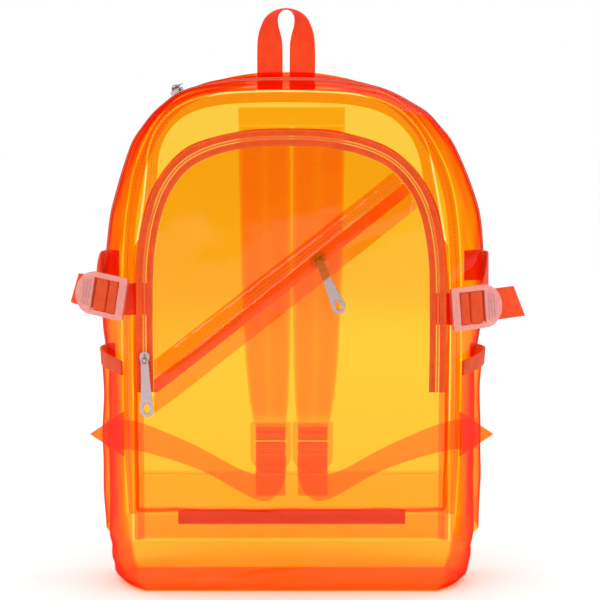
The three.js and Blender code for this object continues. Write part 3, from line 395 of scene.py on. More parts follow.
def facing_out(points, faces):
    return faces if volume_of(points, faces) > 0 else [tuple(reversed(face)) for face in faces]


def ring_faces(rows, count):
    """Faces between closed rings of points, one ring after the other"""
    faces = []
    for row in range(rows - 1):
        low, high = row * count, (row + 1) * count
        for step in range(count):
            following = (step + 1) % count
            faces.append((low + step, low + following, high + following, high + step))
    return faces


def grid_normals(grid, ring):
    across = np.gradient(np.concatenate([grid[-1:], grid, grid[:1]]) if ring else grid, axis=0)
    across = across[1:-1] if ring else across
    along = np.gradient(grid, axis=1)
    return unit(np.cross(across, along))


def shell(name, grid, thickness, flip=False, ring=False, centred=False):
    """Closed thin wall from a grid of points on its outer face"""
    grid = np.asarray(grid, float)
    columns, rows = grid.shape[:2]
    normal = grid_normals(grid, ring) * (-1 if flip else 1)
    start = thickness / 2 if centred else 0
    outer = grid + normal * start
    inner = grid + normal * (start - thickness)
    points = np.concatenate([outer.reshape(-1, 3), inner.reshape(-1, 3)])
    count = columns * rows
    faces = []
    spans = columns if ring else columns - 1
    for column in range(spans):
        here, there = column * rows, (column + 1) % columns * rows
        for row in range(rows - 1):
            a, b, c, d = here + row, there + row, there + row + 1, here + row + 1
            faces += [(a, b, c, d), (d + count, c + count, b + count, a + count)]
        faces += [(here, here + count, there + count, there)]
        end = rows - 1
        faces += [(here + end, there + end, there + end + count, here + end + count)]
    if not ring:
        for row in range(rows - 1):
            last = (columns - 1) * rows
            faces += [(row, row + 1, row + 1 + count, row + count)]
            faces += [(last + row, last + row + count, last + row + 1 + count, last + row + 1)]
    middle = grid[columns // 2], grid[:, rows // 2]
    v_run = np.concatenate([[0], np.cumsum(np.linalg.norm(np.diff(middle[0], axis=0), axis=1))])
    u_run = np.concatenate([[0], np.cumsum(np.linalg.norm(np.diff(middle[1], axis=0), axis=1))])
    uv = np.stack(np.meshgrid(u_run, v_run, indexing="ij"), axis=-1).reshape(-1, 2)
    return new_object(name, points, facing_out(points, faces), np.concatenate([uv, uv]))


def inside(points, outline):
    """Which points lie inside a closed outline"""
    result = np.zeros(len(points), dtype=bool)
    for first, second in zip(outline, np.roll(outline, -1, axis=0)):
        crosses = (first[1] > points[:, 1]) != (second[1] > points[:, 1])
        height = second[1] - first[1]
        reach = first[0] + (points[:, 1] - first[1]) * (second[0] - first[0]) / (height if height else 1e-9)
        result ^= crosses & (points[:, 0] < reach)
    return result


def spaced(outline, step):
    """The outline with points at most a step apart"""
    result = []
    for first, second in zip(outline, np.roll(outline, -1, axis=0)):
        count = max(int(np.ceil(np.linalg.norm(second - first) / step)), 1)
        result += [mix(first, second, index / count) for index in range(count)]
    return np.array(result)


def cut_sheet(name, outline, face, thickness, step=5.0, facing=-1):
    """Closed thin sheet inside an outline in x and z; face gives the y of its outer side"""
    outline = spaced(np.asarray(outline, float), step)
    low, high = outline.min(axis=0), outline.max(axis=0)
    xs = np.arange(low[0] + step / 2, high[0], step)
    zs = np.arange(low[1] + step / 2, high[1], step)
    inner = np.stack(np.meshgrid(xs, zs, indexing="ij"), axis=-1).reshape(-1, 2)
    inner = inner[inside(inner, outline)]
    near = np.min(np.linalg.norm(inner[:, None] - outline[None], axis=2), axis=1)
    inner = inner[near > step * 0.45]
    flat = np.concatenate([outline, inner])
    cut = delaunay_2d_cdt([Vector(point) for point in flat], [], [list(range(len(outline)))], 1, 1e-5)
    places = np.array([tuple(point) for point in cut[0]])
    triangles = [tuple(triangle) for triangle in cut[2]]
    outer_y = face(places[:, 0], places[:, 1])
    outer = np.stack([places[:, 0], outer_y, places[:, 1]], axis=1)
    rear = outer - np.array([0, facing * thickness, 0])
    count = len(outer)
    used = {}
    for triangle in triangles:
        for first, second in zip(triangle, triangle[1:] + triangle[:1]):
            used[(first, second)] = True
    rim = [edge for edge in used if (edge[1], edge[0]) not in used]
    faces = list(triangles)
    faces += [tuple(index + count for index in reversed(triangle)) for triangle in triangles]
    faces += [(second, first, first + count, second + count) for first, second in rim]
    points = np.concatenate([outer, rear])
    return new_object(name, points, facing_out(points, faces), np.concatenate([places, places]))


def soften(piece, width, segments=2, angle=40):
    bevel = piece.modifiers.new("soft edges", "BEVEL")
    bevel.width = width * MM
    bevel.segments = segments
    bevel.limit_method = "ANGLE"
    bevel.angle_limit = math.radians(angle)
    return piece


def ribbon_grid(stations, width, per_step=6, columns=5, slant=0.0):
    """Grid of a strap's middle surface through stations of (place, direction across)"""
    centre = catmull([place for place, _ in stations], per_step)
    across = unit(catmull([direction for _, direction in stations], per_step))
    share = np.linspace(-0.5, 0.5, columns)[:, None, None]
    progress = np.linspace(0, 1, len(centre))[None, :, None]
    tangent = unit(np.gradient(centre, axis=0))
    return centre + across * share * width + tangent * slant * share * progress ** 24


def strap(name, stations, width=WEB_WIDTH, slant=0.0):
    """Webbing with rounded selvedges"""
    grid = ribbon_grid(stations, width, slant=slant)
    return soften(shell(name, grid, WEB_THICK, centred=True), 0.35, angle=50)


def repeat(name, template, faces, origins, bases):
    """One small shape set down at every frame; each basis holds the x, y and z directions as rows"""
    template = np.asarray(template, float)
    points = origins[:, None] + np.einsum("pk,nkd->npd", template, bases)
    size = len(template)
    every = [tuple(index + size * copy for index in face) for copy in range(len(origins)) for face in faces]
    return new_object(name, points.reshape(-1, 3), every, smooth=True, sharp=60)


def capsule(length, radius, sides=6):
    """Short thread, drawn along x"""
    rings = [(-0.5, 0.35), (-0.3, 1.0), (0.3, 1.0), (0.5, 0.35)]
    turns = [2 * math.pi * side / sides for side in range(sides)]
    points = [(at * length, size * radius * math.cos(turn), size * radius * math.sin(turn))
              for at, size in rings for turn in turns]
    faces = [tuple(range(sides))[::-1], tuple(range(3 * sides, 4 * sides))]
    for ring in range(3):
        for side in range(sides):
            other = (side + 1) % sides
            a, b = ring * sides + side, ring * sides + other
            faces.append((a, b, b + sides, a + sides))
    return points, [tuple(reversed(face)) for face in faces]


def along_line(points, pitch):
    """Places at an even pitch along a line, and the direction of the line there"""
    points = np.asarray(points, float)
    run = np.concatenate([[0], np.cumsum(np.linalg.norm(np.diff(points, axis=0), axis=1))])
    at = np.arange(pitch / 2, run[-1], pitch)
    reach = pitch * 0.4

    def place(distance):
        return np.stack([np.interp(distance, run, column) for column in points.T], axis=-1)

    ahead = place(np.minimum(at + reach, run[-1]))
    back = place(np.maximum(at - reach, 0))
    return place(at), unit(ahead - back), at


def stitch_points(line, outward, lift, pitch=3.4):
    places, along, at = along_line(line, pitch)
    line_run = np.concatenate([[0], np.cumsum(np.linalg.norm(np.diff(line, axis=0), axis=1))])
    out = unit(np.stack([np.interp(at, line_run, column) for column in np.asarray(outward).T], axis=-1))
    side = unit(np.cross(out, along))
    out = np.cross(along, side)
    return places + out * lift, np.stack([along, side, out], axis=1)


def stitches(name, rows, lift=0.12, pitch=3.4, length=2.3, radius=0.26):
    """Thread along lines of (points, outward directions), sunk half way into the cloth"""
    found = [stitch_points(np.asarray(line, float), outward, lift, pitch) for line, outward in rows]
    points, faces = capsule(length, radius)
    origins, bases = (np.concatenate(rows_found) for rows_found in zip(*found))
    return repeat(name, points, faces, origins, bases)


# Materials
def blank(name):
    material = bpy.data.materials.new(name)
    material.use_nodes = True
    tree = material.node_tree
    tree.nodes.clear()
    return material, tree


def node(tree, kind, **inputs):
    made = tree.nodes.new(kind)
    for key, value in inputs.items():
        made.inputs[key.replace("_", " ")].default_value = value
    return made


def noise_bump(tree, scale, strength, distance):
    source = node(tree, "ShaderNodeTexCoord")
    grain = node(tree, "ShaderNodeTexNoise", Scale=scale, Detail=3.0)
    bump = node(tree, "ShaderNodeBump", Strength=strength, Distance=distance)
    tree.links.new(source.outputs["Object"], grain.inputs["Vector"])
    tree.links.new(grain.outputs["Fac"], bump.inputs["Height"])
    return bump, grain


def ramp_between(tree, value, dark, light):
    """Colour that runs from dark to light with a value"""
    ramp = node(tree, "ShaderNodeValToRGB")
    ramp.color_ramp.elements[0].color = dark
    ramp.color_ramp.elements[1].color = light
    tree.links.new(value, ramp.inputs["Fac"])
    return ramp


# What one sheet of the film lets through, in linear red, green and blue
FILM_PASSES = (0.9985, 0.82, 0.25)
MOST_GLOSS = 0.03


def film(name, sheets=1.0, wall=WALL, haze=0.02, gloss=0.07):
    """See-through PVC: gloss outside, a trace of haze, and colour taken off along the way through"""
    material, tree = blank(name)
    output = node(tree, "ShaderNodeOutputMaterial")
    bump = noise_bump(tree, scale=14.0, strength=0.25, distance=0.004)[0]
    clear = node(tree, "ShaderNodeBsdfTransparent")
    body = node(tree, "ShaderNodeBsdfTranslucent", Color=(1.0, 0.3, 0.02, 1))
    shine = node(tree, "ShaderNodeBsdfAnisotropic", Roughness=gloss)
    fresnel = node(tree, "ShaderNodeFresnel", IOR=1.5)
    facing = node(tree, "ShaderNodeNewGeometry")
    outer = node(tree, "ShaderNodeMath")
    outer.operation = "SUBTRACT"
    outer.inputs[0].default_value = MOST_GLOSS
    capped = node(tree, "ShaderNodeMath")
    capped.operation = "MINIMUM"
    scaled = node(tree, "ShaderNodeMath")
    scaled.operation = "MULTIPLY"
    scaled.inputs[1].default_value = MOST_GLOSS
    hazy = node(tree, "ShaderNodeMixShader")
    hazy.inputs[0].default_value = haze
    whole = node(tree, "ShaderNodeMixShader")
    taken = [-math.log(share) / (wall * MM) * sheets for share in FILM_PASSES]
    inside_wall = node(tree, "ShaderNodeVolumeAbsorption", Density=taken[2],
                       Color=(1 - taken[0] / taken[2], 1 - taken[1] / taken[2], 0, 1))
    for receiver in (body, shine, fresnel):
        tree.links.new(bump.outputs[0], receiver.inputs["Normal"])
    tree.links.new(clear.outputs[0], hazy.inputs[1])
    tree.links.new(body.outputs[0], hazy.inputs[2])
    tree.links.new(facing.outputs["Backfacing"], scaled.inputs[0])
    tree.links.new(scaled.outputs[0], outer.inputs[1])
    tree.links.new(fresnel.outputs[0], capped.inputs[0])
    tree.links.new(outer.outputs[0], capped.inputs[1])
    tree.links.new(capped.outputs[0], whole.inputs[0])
    tree.links.new(hazy.outputs[0], whole.inputs[1])
    tree.links.new(shine.outputs[0], whole.inputs[2])
    tree.links.new(whole.outputs[0], output.inputs["Surface"])
    tree.links.new(inside_wall.outputs[0], output.inputs["Volume"])
    return material


def woven(name, light, dark, ribs, threads, strength=0.6):
    """Woven tape: ribs along one way and threads across them, both in metres of the cloth"""
    material, tree = blank(name)
    output = node(tree, "ShaderNodeOutputMaterial")
    surface = node(tree, "ShaderNodeBsdfPrincipled", Roughness=0.75, Sheen_Weight=0.25,
                   Sheen_Roughness=0.4)
    source = node(tree, "ShaderNodeUVMap")
    waves = []
    for direction, pitch in (("X", ribs), ("Y", threads)):
        wave = node(tree, "ShaderNodeTexWave", Scale=0.31416 / (pitch * MM), Distortion=0.4, Detail=1.0)
        wave.bands_direction = direction
        tree.links.new(source.outputs[0], wave.inputs["Vector"])
        waves.append(wave)
    height = node(tree, "ShaderNodeMath")
    height.operation = "MULTIPLY"
    tree.links.new(waves[0].outputs["Fac"], height.inputs[0])
    tree.links.new(waves[1].outputs["Fac"], height.inputs[1])
    mottle = node(tree, "ShaderNodeTexNoise", Scale=120.0, Detail=4.0)
    coordinate = node(tree, "ShaderNodeTexCoord")
    tree.links.new(coordinate.outputs["Object"], mottle.inputs["Vector"])
    blend = node(tree, "ShaderNodeMath")
    blend.operation = "MULTIPLY_ADD"
    tree.links.new(height.outputs[0], blend.inputs[0])
    blend.inputs[1].default_value = 0.7
    tree.links.new(mottle.outputs["Fac"], blend.inputs[2])
    ramp = ramp_between(tree, blend.outputs[0], dark, light)
    ramp.color_ramp.elements[0].position = 0.3
    bump = node(tree, "ShaderNodeBump", Strength=strength, Distance=0.0004)
    tree.links.new(height.outputs[0], bump.inputs["Height"])
    tree.links.new(bump.outputs[0], surface.inputs["Normal"])
    tree.links.new(ramp.outputs["Color"], surface.inputs["Base Color"])
    glow = node(tree, "ShaderNodeBsdfTranslucent")
    through = node(tree, "ShaderNodeMixShader")
    through.inputs[0].default_value = 0.45
    tree.links.new(ramp.outputs["Color"], glow.inputs["Color"])
    tree.links.new(surface.outputs[0], through.inputs[1])
    tree.links.new(glow.outputs[0], through.inputs[2])
    tree.links.new(through.outputs[0], output.inputs["Surface"])
    return material


def thread_material(name, colour):
    material, tree = blank(name)
    output = node(tree, "ShaderNodeOutputMaterial")
    surface = node(tree, "ShaderNodeBsdfPrincipled", Roughness=0.55, Sheen_Weight=0.2)
    bump, grain = noise_bump(tree, scale=900.0, strength=0.4, distance=0.0002)
    dark = tuple(value * 0.75 for value in colour[:3]) + (1,)
    ramp = ramp_between(tree, grain.outputs["Fac"], dark, colour)
    tree.links.new(ramp.outputs["Color"], surface.inputs["Base Color"])
    tree.links.new(bump.outputs[0], surface.inputs["Normal"])
    tree.links.new(surface.outputs[0], output.inputs["Surface"])
    return material


def frosted_plastic(name):
    material, tree = blank(name)
    output = node(tree, "ShaderNodeOutputMaterial")
    bump, grain = noise_bump(tree, scale=420.0, strength=0.25, distance=0.0003)
    ramp = ramp_between(tree, grain.outputs["Fac"], (0.78, 0.22, 0.18, 1), (0.9, 0.45, 0.42, 1))
    surface = node(tree, "ShaderNodeBsdfPrincipled", Roughness=0.32, IOR=1.49,
                   Subsurface_Weight=0.4, Subsurface_Radius=(0.006, 0.003, 0.003), Subsurface_Scale=1.0)
    clear = node(tree, "ShaderNodeBsdfTransparent", Color=(1.0, 0.8, 0.78, 1))
    mixed = node(tree, "ShaderNodeMixShader")
    mixed.inputs[0].default_value = 0.78
    tree.links.new(ramp.outputs["Color"], surface.inputs["Base Color"])
    tree.links.new(bump.outputs[0], surface.inputs["Normal"])
    tree.links.new(clear.outputs[0], mixed.inputs[1])
    tree.links.new(surface.outputs[0], mixed.inputs[2])
    tree.links.new(mixed.outputs[0], output.inputs["Surface"])
    return material


def plated_metal(name):
    material, tree = blank(name)
    output = node(tree, "ShaderNodeOutputMaterial")
    surface = node(tree, "ShaderNodeBsdfPrincipled", Metallic=1.0)
    bump, grain = noise_bump(tree, scale=260.0, strength=0.12, distance=0.0003)
    shade = ramp_between(tree, grain.outputs["Fac"], (0.5, 0.36, 0.37, 1), (0.78, 0.62, 0.62, 1))
    rough = node(tree, "ShaderNodeMapRange", From_Min=0.3, From_Max=0.7, To_Min=0.2, To_Max=0.38)
    tree.links.new(grain.outputs["Fac"], rough.inputs["Value"])
    tree.links.new(shade.outputs["Color"], surface.inputs["Base Color"])
    tree.links.new(rough.outputs["Result"], surface.inputs["Roughness"])
    tree.links.new(bump.outputs[0], surface.inputs["Normal"])
    tree.links.new(surface.outputs[0], output.inputs["Surface"])
    return material


PVC = film("clear orange film")
PVC_SEAM = film("folded orange film", sheets=2.6, haze=0.05)
PVC_SIDE = film("side orange film", sheets=1.4, haze=0.03)
PVC_TAB = film("corner tab film", sheets=6.0, wall=CAD_WALL, haze=0.3)
PVC_STRAP = film("padded strap film", sheets=3.3, wall=6.0, haze=0.05, gloss=0.2)
PVC_BAND = film("lower band film", sheets=3.6, wall=WEB_THICK, haze=0.08, gloss=0.15)
TAPE_CLOTH = woven("zip tape cloth", (0.97, 0.16, 0.012, 1), (0.8, 0.085, 0.006, 1), 1.0, 0.6)
FLAP_TAPE = woven("tape under the flap", (1.0, 0.5, 0.06, 1), (1.0, 0.36, 0.04, 1), 1.0, 0.6)
WEBBING = woven("ribbed webbing", (1.0, 0.17, 0.03, 1), (0.95, 0.09, 0.015, 1), 1.6, 1.1, strength=0.9)
COIL = thread_material("zip coil", (0.85, 0.1, 0.02, 1))
THREAD = thread_material("sewing thread", (0.9, 0.17, 0.03, 1))
FROSTED = frosted_plastic("frosted plastic")
BACK_BUCKLE = film("clear back buckle plastic", sheets=1.6, wall=BUCKLE_THICK, haze=0.1, gloss=0.2)
METAL = plated_metal("plated metal")


def settle(piece, material, slot, *nodes, body="root"):
    """Gives a piece its material and body and hides the CAD nodes it stands for; the slot is not used"""
    piece.data.materials.clear()
    piece.data.materials.append(material)
    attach(piece, body)
    if nodes:
        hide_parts(*nodes)
    return piece


def clear_piece(piece, *nodes, material=PVC):
    return settle(piece, material, "clear_pvc", *nodes)


# Body panels
def arch_outline(curve, inset, count, start=0.0, end=1.0):
    return arch_place(curve, np.linspace(start, end, count + 1), inset)


def front_skin(x, z):
    points = upright_points(x, z)
    calm = np.clip(swell(x, z, front_arch, BOOT_HEIGHT, FRONT_TOP) * 3, 0, 1)
    return front_face(x, z) + 0.5 * calm * ripple(points, 90, 3)


def back_skin(x, z):
    points = upright_points(x, z)
    calm = np.clip(swell(x, z, back_arch, BOOT_HEIGHT, BACK_TOP) * 3, 0, 1)
    return back_face(x, z) - 0.3 * calm * (1 + ripple(points, 80, 5) * 0.5)


ARCH_STEPS = 110
front_outline = arch_outline(front_arch, SEAM_INSET, ARCH_STEPS)
back_outline = arch_outline(back_arch, SEAM_INSET, ARCH_STEPS)
clear_piece(cut_sheet("front_sheet", front_outline, front_skin, WALL), "front_panel")
clear_piece(cut_sheet("back_sheet", back_outline, back_skin, WALL, facing=1), "back_panel")


def arch_band(name, curve, outer, inner, face, thickness, start=0.0, end=1.0, steps=160, flip=False):
    share = np.linspace(start, end, steps + 1)[:, None]
    inset = np.linspace(inner, outer, 4)[None, :]
    place = arch_place(curve, share, inset)
    y = face(place[..., 0], place[..., 1])
    grid = np.stack([place[..., 0], y, place[..., 1]], axis=-1)
    return shell(name, grid, thickness, flip=flip)


clear_piece(
    arch_band("front_binding", front_arch, SEAM_INSET, SEAM_INSET + BINDING_WIDTH,
              lambda x, z: front_face(x, z) + CAD_WALL + 1.5 * FIT, TAPE),
    "front_seam_binding", material=PVC_SEAM)
clear_piece(
    arch_band("back_binding", back_arch, SEAM_INSET, SEAM_INSET + BINDING_WIDTH,
              lambda x, z: back_face(x, z) - CAD_WALL - 1.5 * FIT, TAPE, flip=True),
    "back_seam_binding", material=PVC_SEAM)


def gusset_sheet(name, span, reach, steps, thickness=WALL, dents=1.2, seed=11):
    """Part of the gusset, dented a little away from its edges"""
    along = np.linspace(*span, steps[0] + 1)[:, None]
    across = np.linspace(*reach, steps[1] + 1)[None, :]
    grid = gusset(along, across)
    out = gusset_out(*np.broadcast_arrays(along, across))
    share = (across - reach[0]) / (reach[1] - reach[0])
    calm = np.sin(math.pi * np.clip(share, 0, 1)) ** 0.7
    folds = ripple(grid * np.array([1, 2.4, 0.7]), 70, seed) + 0.5 * ripple(grid, 26, seed + 1)
    return shell(name, grid - out * (dents * calm * (0.8 + folds) * 0.5)[..., None], thickness)


def depth_share(length):
    return length / BODY_DEPTH


zip_foot = float(crest_arch.at_height(ZIP_END_HEIGHT))
coil_half = depth_share(COIL_WIDTH / 2)
zip_gap = depth_share(FIT)
tape_front = (ZIP_AT - coil_half - zip_gap - depth_share(ZIP_TAPE_WIDTH), ZIP_AT - coil_half - zip_gap)
tape_back = (ZIP_AT + coil_half + zip_gap, ZIP_AT + coil_half + zip_gap + depth_share(ZIP_TAPE_WIDTH))
foot_gap = FIT / crest_arch.length
zip_span = (zip_foot, 1 - zip_foot)
clear_piece(gusset_sheet("side_sheet_left", (0, zip_foot - foot_gap), (0, 1), (40, 36)),
            "side_panel_left", material=PVC_SIDE)
clear_piece(gusset_sheet("side_sheet_right", (1 - zip_foot + foot_gap, 1), (0, 1), (40, 36), seed=17),
            "side_panel_right", material=PVC_SIDE)
clear_piece(gusset_sheet("gusset_front_sheet", zip_span, (0, tape_front[0] - zip_gap), (240, 10), dents=0.8),
            "gusset_front_strip", material=PVC_SIDE)
clear_piece(gusset_sheet("gusset_back_sheet", zip_span, (tape_back[1] + zip_gap, 1), (240, 20), dents=1.2),
            "gusset_back_strip", material=PVC_SIDE)


def cloth_piece(piece, *nodes):
    return settle(piece, TAPE_CLOTH, "zip_cloth", *nodes)


for end, tape_span in (("front", tape_front), ("back", tape_back)):
    cloth_piece(gusset_sheet(f"main_tape_{end}", zip_span, tape_span, (200, 4), TAPE, dents=0),
                f"main_zip_tape_{end}")


def coil(name, line, outward, node_name, pitch=1.25, width=COIL_WIDTH, height=COIL_THICK):
    """Interlocked teeth, set down by turns on both sides of a line"""
    places, bases = stitch_points(line, outward, 0, pitch / 2)
    side = np.where(np.arange(len(places)) % 2 == 0, 1.0, -1.0)[:, None]
    origins = places + bases[:, 1] * side * width * 0.17
    turned = np.stack([bases[:, 1], -bases[:, 0], bases[:, 2]], axis=1)
    points, faces = capsule(width * 0.66, 0.5, sides=8)
    points = np.array(points) * np.array([1, 0.62, height / 2])
    teeth = repeat(name, points, faces, origins, turned)
    core_width = width * 0.5
    core = shell(name + "_cord", np.stack([line - bases_at(line, outward) * core_width / 2,
                                            line + bases_at(line, outward) * core_width / 2]),
                 height * 0.45, centred=True)
    settle(core, COIL, "zip_cloth")
    return settle(teeth, COIL, "zip_cloth", node_name)


def bases_at(line, outward):
    """Direction across a line, along the cloth"""
    return unit(np.cross(unit(outward), unit(np.gradient(np.asarray(line, float), axis=0))))


zip_line = np.linspace(*zip_span, 500)
zip_out = gusset_out(zip_line, np.full_like(zip_line, ZIP_AT))
coil("main_coil", gusset(zip_line, ZIP_AT) + zip_out * (COIL_THICK - TAPE) * 0.1, zip_out, "main_zip_coil")


# Boot
def boot_rings(thickness):
    side = np.linspace(0, 1, 25)[:-1]
    straight = np.linspace(0, 1, 41)[:-1][:, None]
    corners = [gusset(0.0, 1.0), gusset(1.0, 1.0), gusset(1.0, 0.0), gusset(0.0, 0.0)]
    rim = np.concatenate([
        gusset(np.zeros_like(side), side),
        mix(corners[0], corners[1], straight),
        gusset(np.ones_like(side), 1 - side),
        mix(corners[2], corners[3], straight),
    ])
    ups = np.linspace(1, 0, 22)
    table = np.array(BOOT_FOOT[::-1])
    insets = np.interp(ups, table[:, 0], table[:, 1]) * BOOT_HEIGHT
    rings = []
    for up, inset in zip(ups, insets):
        inward = inset + thickness
        ring = rim * np.array([1 - inward / FRONT_HALF, 1 - 2 * inward / BODY_DEPTH, 0])
        height = mix(thickness, BOOT_HEIGHT, up)
        points = ring + np.array([0, 0, height])
        creases = ripple(points * np.array([0.5, 0.5, 2.6]), 38, 23) + 0.6 * ripple(points, 22, 29)
        depth = 1.1 * math.sin(math.pi * min(up * 1.02, 1)) * (0.6 + creases)
        out = unit(ring * np.array([1 / FRONT_HALF, 2.4 / BODY_DEPTH, 0]))
        rings.append(points - out * depth[:, None] * 0.9)
    return np.array(rings)


def boot():
    outer = boot_rings(0.0)
    inner = boot_rings(WALL)[::-1]
    rings = np.concatenate([outer[::-1], inner[::-1]])
    count = rings.shape[1]
    points = np.concatenate([rings.reshape(-1, 3), [[0, 0, 0], [0, 0, WALL]]])
    faces = ring_faces(len(rings), count)
    last = (len(rings) - 1) * count
    under = len(points) - 2
    for step in range(count):
        following = (step + 1) % count
        faces.append((under, following, step))
        faces.append((under + 1, last + step, last + following))
    return new_object("boot_sheet", points, facing_out(points, faces))


clear_piece(boot(), "base_boot", material=film("boot film", sheets=1.4, haze=0.06))

# A second layer inside the front panel, guessed from the darker strip above the boot
HEM_HALF = 0.96 * FRONT_HALF
HEM_FOOT = BOOT_HEIGHT + 2
HEM_TOP = BOOT_HEIGHT + 26
hem_outline = rectangle(HEM_HALF, HEM_FOOT, HEM_TOP)
clear_piece(cut_sheet("boot_hem", hem_outline, lambda x, z: front_face(x, z) + CAD_WALL + 2 * FIT, WALL),
            "base_boot", material=PVC_SEAM)

# Pocket wall
ARCH_SHARE = 0.8
NARROWS_FROM = FRONT_TOP * 0.7
LOW_SPREAD = 0.8
HIGH_SPREAD = 0.3


def pocket_edge(share):
    share = np.mod(share, 1)
    over = arch_place(pocket_arch, np.clip(share / ARCH_SHARE, 0, 1))
    right, left = arch_place(pocket_arch, np.array(1.0)), arch_place(pocket_arch, np.array(0.0))
    foot = mix(right, left, np.clip((share - ARCH_SHARE) / (1 - ARCH_SHARE), 0, 1)[..., None])
    return np.where((share < ARCH_SHARE)[..., None], over, foot)


def pocket_wall():
    share = np.linspace(0, 1, 201)[:-1]
    edge = pocket_edge(share)
    spread = FRONT_HALF / POCKET_HALF - 1
    rear_x = edge[:, 0] * (1 + spread * np.where(edge[:, 1] < NARROWS_FROM, LOW_SPREAD, HIGH_SPREAD))
    front = np.stack([edge[:, 0], np.full(len(edge), float(POCKET_FACE_Y)), edge[:, 1]], axis=-1)
    rear = np.stack([rear_x, front_face(rear_x, edge[:, 1]) - 2 * FIT, edge[:, 1]], axis=-1)
    depth = np.linspace(0, 1, 9)[None, :, None]
    grid = mix(front[:, None], rear[:, None], depth)
    middle = np.array([0, 0, (POCKET_BOTTOM + POCKET_TOP) / 2])
    out = unit((grid - middle) * np.array([1, 0, 1]))
    folds = ripple(grid, 45, 31) * np.sin(math.pi * depth[..., 0])
    return shell("pocket_side_sheet", grid - out * (0.7 + folds[..., None]) * 0.7, WALL, ring=True)


clear_piece(pocket_wall(), "pocket_wall")

# Pocket zip and sheets
OUTER_TAPE = (0.5, 0.5 + POCKET_TAPE_WIDTH)
COIL_BAND = (OUTER_TAPE[1] + FIT, OUTER_TAPE[1] + FIT + COIL_WIDTH)
INNER_TAPE = (COIL_BAND[1] + FIT, COIL_BAND[1] + FIT + POCKET_TAPE_WIDTH)
FRONT_INSET = INNER_TAPE[1] + FIT
POCKET_TAPE_Y = POCKET_FACE_Y - FIT
pocket_zip_foot = float(pocket_arch.at_height(POCKET_ZIP_FOOT))
pocket_zip_span = {"start": pocket_zip_foot, "end": 1 - pocket_zip_foot}


def tape_puff(x, z):
    points = upright_points(x, z)
    return POCKET_TAPE_Y - TAPE + 0.25 * ripple(points, 40, 37) - 0.2


cloth_piece(arch_band("pocket_tape_outer", pocket_arch, *OUTER_TAPE, tape_puff, TAPE, **pocket_zip_span),
            "pocket_zip_tape_outer")
cloth_piece(arch_band("pocket_tape_inner", pocket_arch, *INNER_TAPE, tape_puff, TAPE, **pocket_zip_span),
            "pocket_zip_tape_inner")
pocket_line = np.linspace(pocket_zip_foot, 1 - pocket_zip_foot, 500)
pocket_line_place = arch_place(pocket_arch, pocket_line, sum(COIL_BAND) / 2)
pocket_coil_line = np.stack([
    pocket_line_place[:, 0],
    np.full(len(pocket_line), POCKET_TAPE_Y - TAPE / 2 - 0.1),
    pocket_line_place[:, 1],
], axis=-1)
front_out = np.tile([0.0, -1.0, 0.0], (len(pocket_line), 1))
coil("pocket_coil", pocket_coil_line, front_out, "pocket_zip_coil")


def diagonal_place(along, below):
    return np.stack([
        along * math.cos(FLAP_ANGLE) + below * math.sin(FLAP_ANGLE),
        FLAP_CENTRE_HEIGHT + along * math.sin(FLAP_ANGLE) - below * math.cos(FLAP_ANGLE),
    ], axis=-1)


def below_of(x, z):
    """Distance below the flap's upper edge"""
    return x * math.sin(FLAP_ANGLE) - (z - FLAP_CENTRE_HEIGHT) * math.cos(FLAP_ANGLE)


def clip(outline, limit, keep_below):
    """The part of an outline on one side of a line parallel to the diagonal"""
    outline = np.asarray(outline, float)
    side = (below_of(outline[:, 0], outline[:, 1]) - limit) * (1 if keep_below else -1)
    result = []
    for index in range(len(outline)):
        other = (index + 1) % len(outline)
        if side[index] >= 0:
            result.append(outline[index])
        if (side[index] >= 0) != (side[other] >= 0):
            share = side[index] / (side[index] - side[other])
            result.append(mix(outline[index], outline[other], share))
    return np.array(result)


def inside_wall(low, high, inset=CAD_WALL + 2 * FIT):
    low_u, high_u = float(pocket_arch.at_height(low)), float(pocket_arch.at_height(high))
    right = arch_outline(pocket_arch, inset, 6, 1 - high_u, 1 - low_u)
    left = arch_outline(pocket_arch, inset, 6, low_u, high_u)
    return np.concatenate([right, left])


def pocket_skin(x, z):
    points = upright_points(x, z)
    calm = np.clip(pocket_swell(x, z) * 3, 0, 1)
    return pocket_face(x, z) + 0.35 * calm * ripple(points, 85, 41)


inside_arch = arch_outline(pocket_arch, FRONT_INSET, 90, pocket_zip_foot, 1 - pocket_zip_foot)
band_top = POCKET_BOTTOM + POCKET_BAND_HEIGHT
pocket_outline = np.concatenate([inside_arch, inside_wall(band_top + FIT, POCKET_ZIP_FOOT - FIT)])
zip_near = FLAP_ZIP_AT - FLAP_ZIP_WIDTH / 2
zip_far = FLAP_ZIP_AT + FLAP_ZIP_WIDTH / 2
clear_piece(cut_sheet("pocket_sheet_upper", clip(pocket_outline, zip_near - FIT, False), pocket_skin, WALL),
            "pocket_front_upper")
clear_piece(cut_sheet("pocket_sheet_lower", clip(pocket_outline, zip_far + FIT, True), pocket_skin, WALL),
            "pocket_front_lower")
clear_piece(cut_sheet("pocket_band_sheet", inside_wall(POCKET_BOTTOM + CAD_WALL + 2 * FIT, band_top),
                      pocket_skin, WALL), "pocket_lower_band", material=film("pocket band film", sheets=2.4))


def inner_skin(x, z):
    return pocket_face(x, z) + CAD_WALL + FIT + INNER_SHEET_SET_BACK * pocket_swell(x, z)


clear_piece(cut_sheet("pocket_backing_sheet", clip(inside_arch, zip_far, False), inner_skin, WALL, step=8),
            "pocket_inner_sheet")
tape_outline = clip(clip(inside_arch, zip_near, True), zip_far, False)
settle(cut_sheet("diagonal_tape", tape_outline, pocket_face, TAPE, step=4), FLAP_TAPE, "zip_cloth",
       "diagonal_zip_tape")


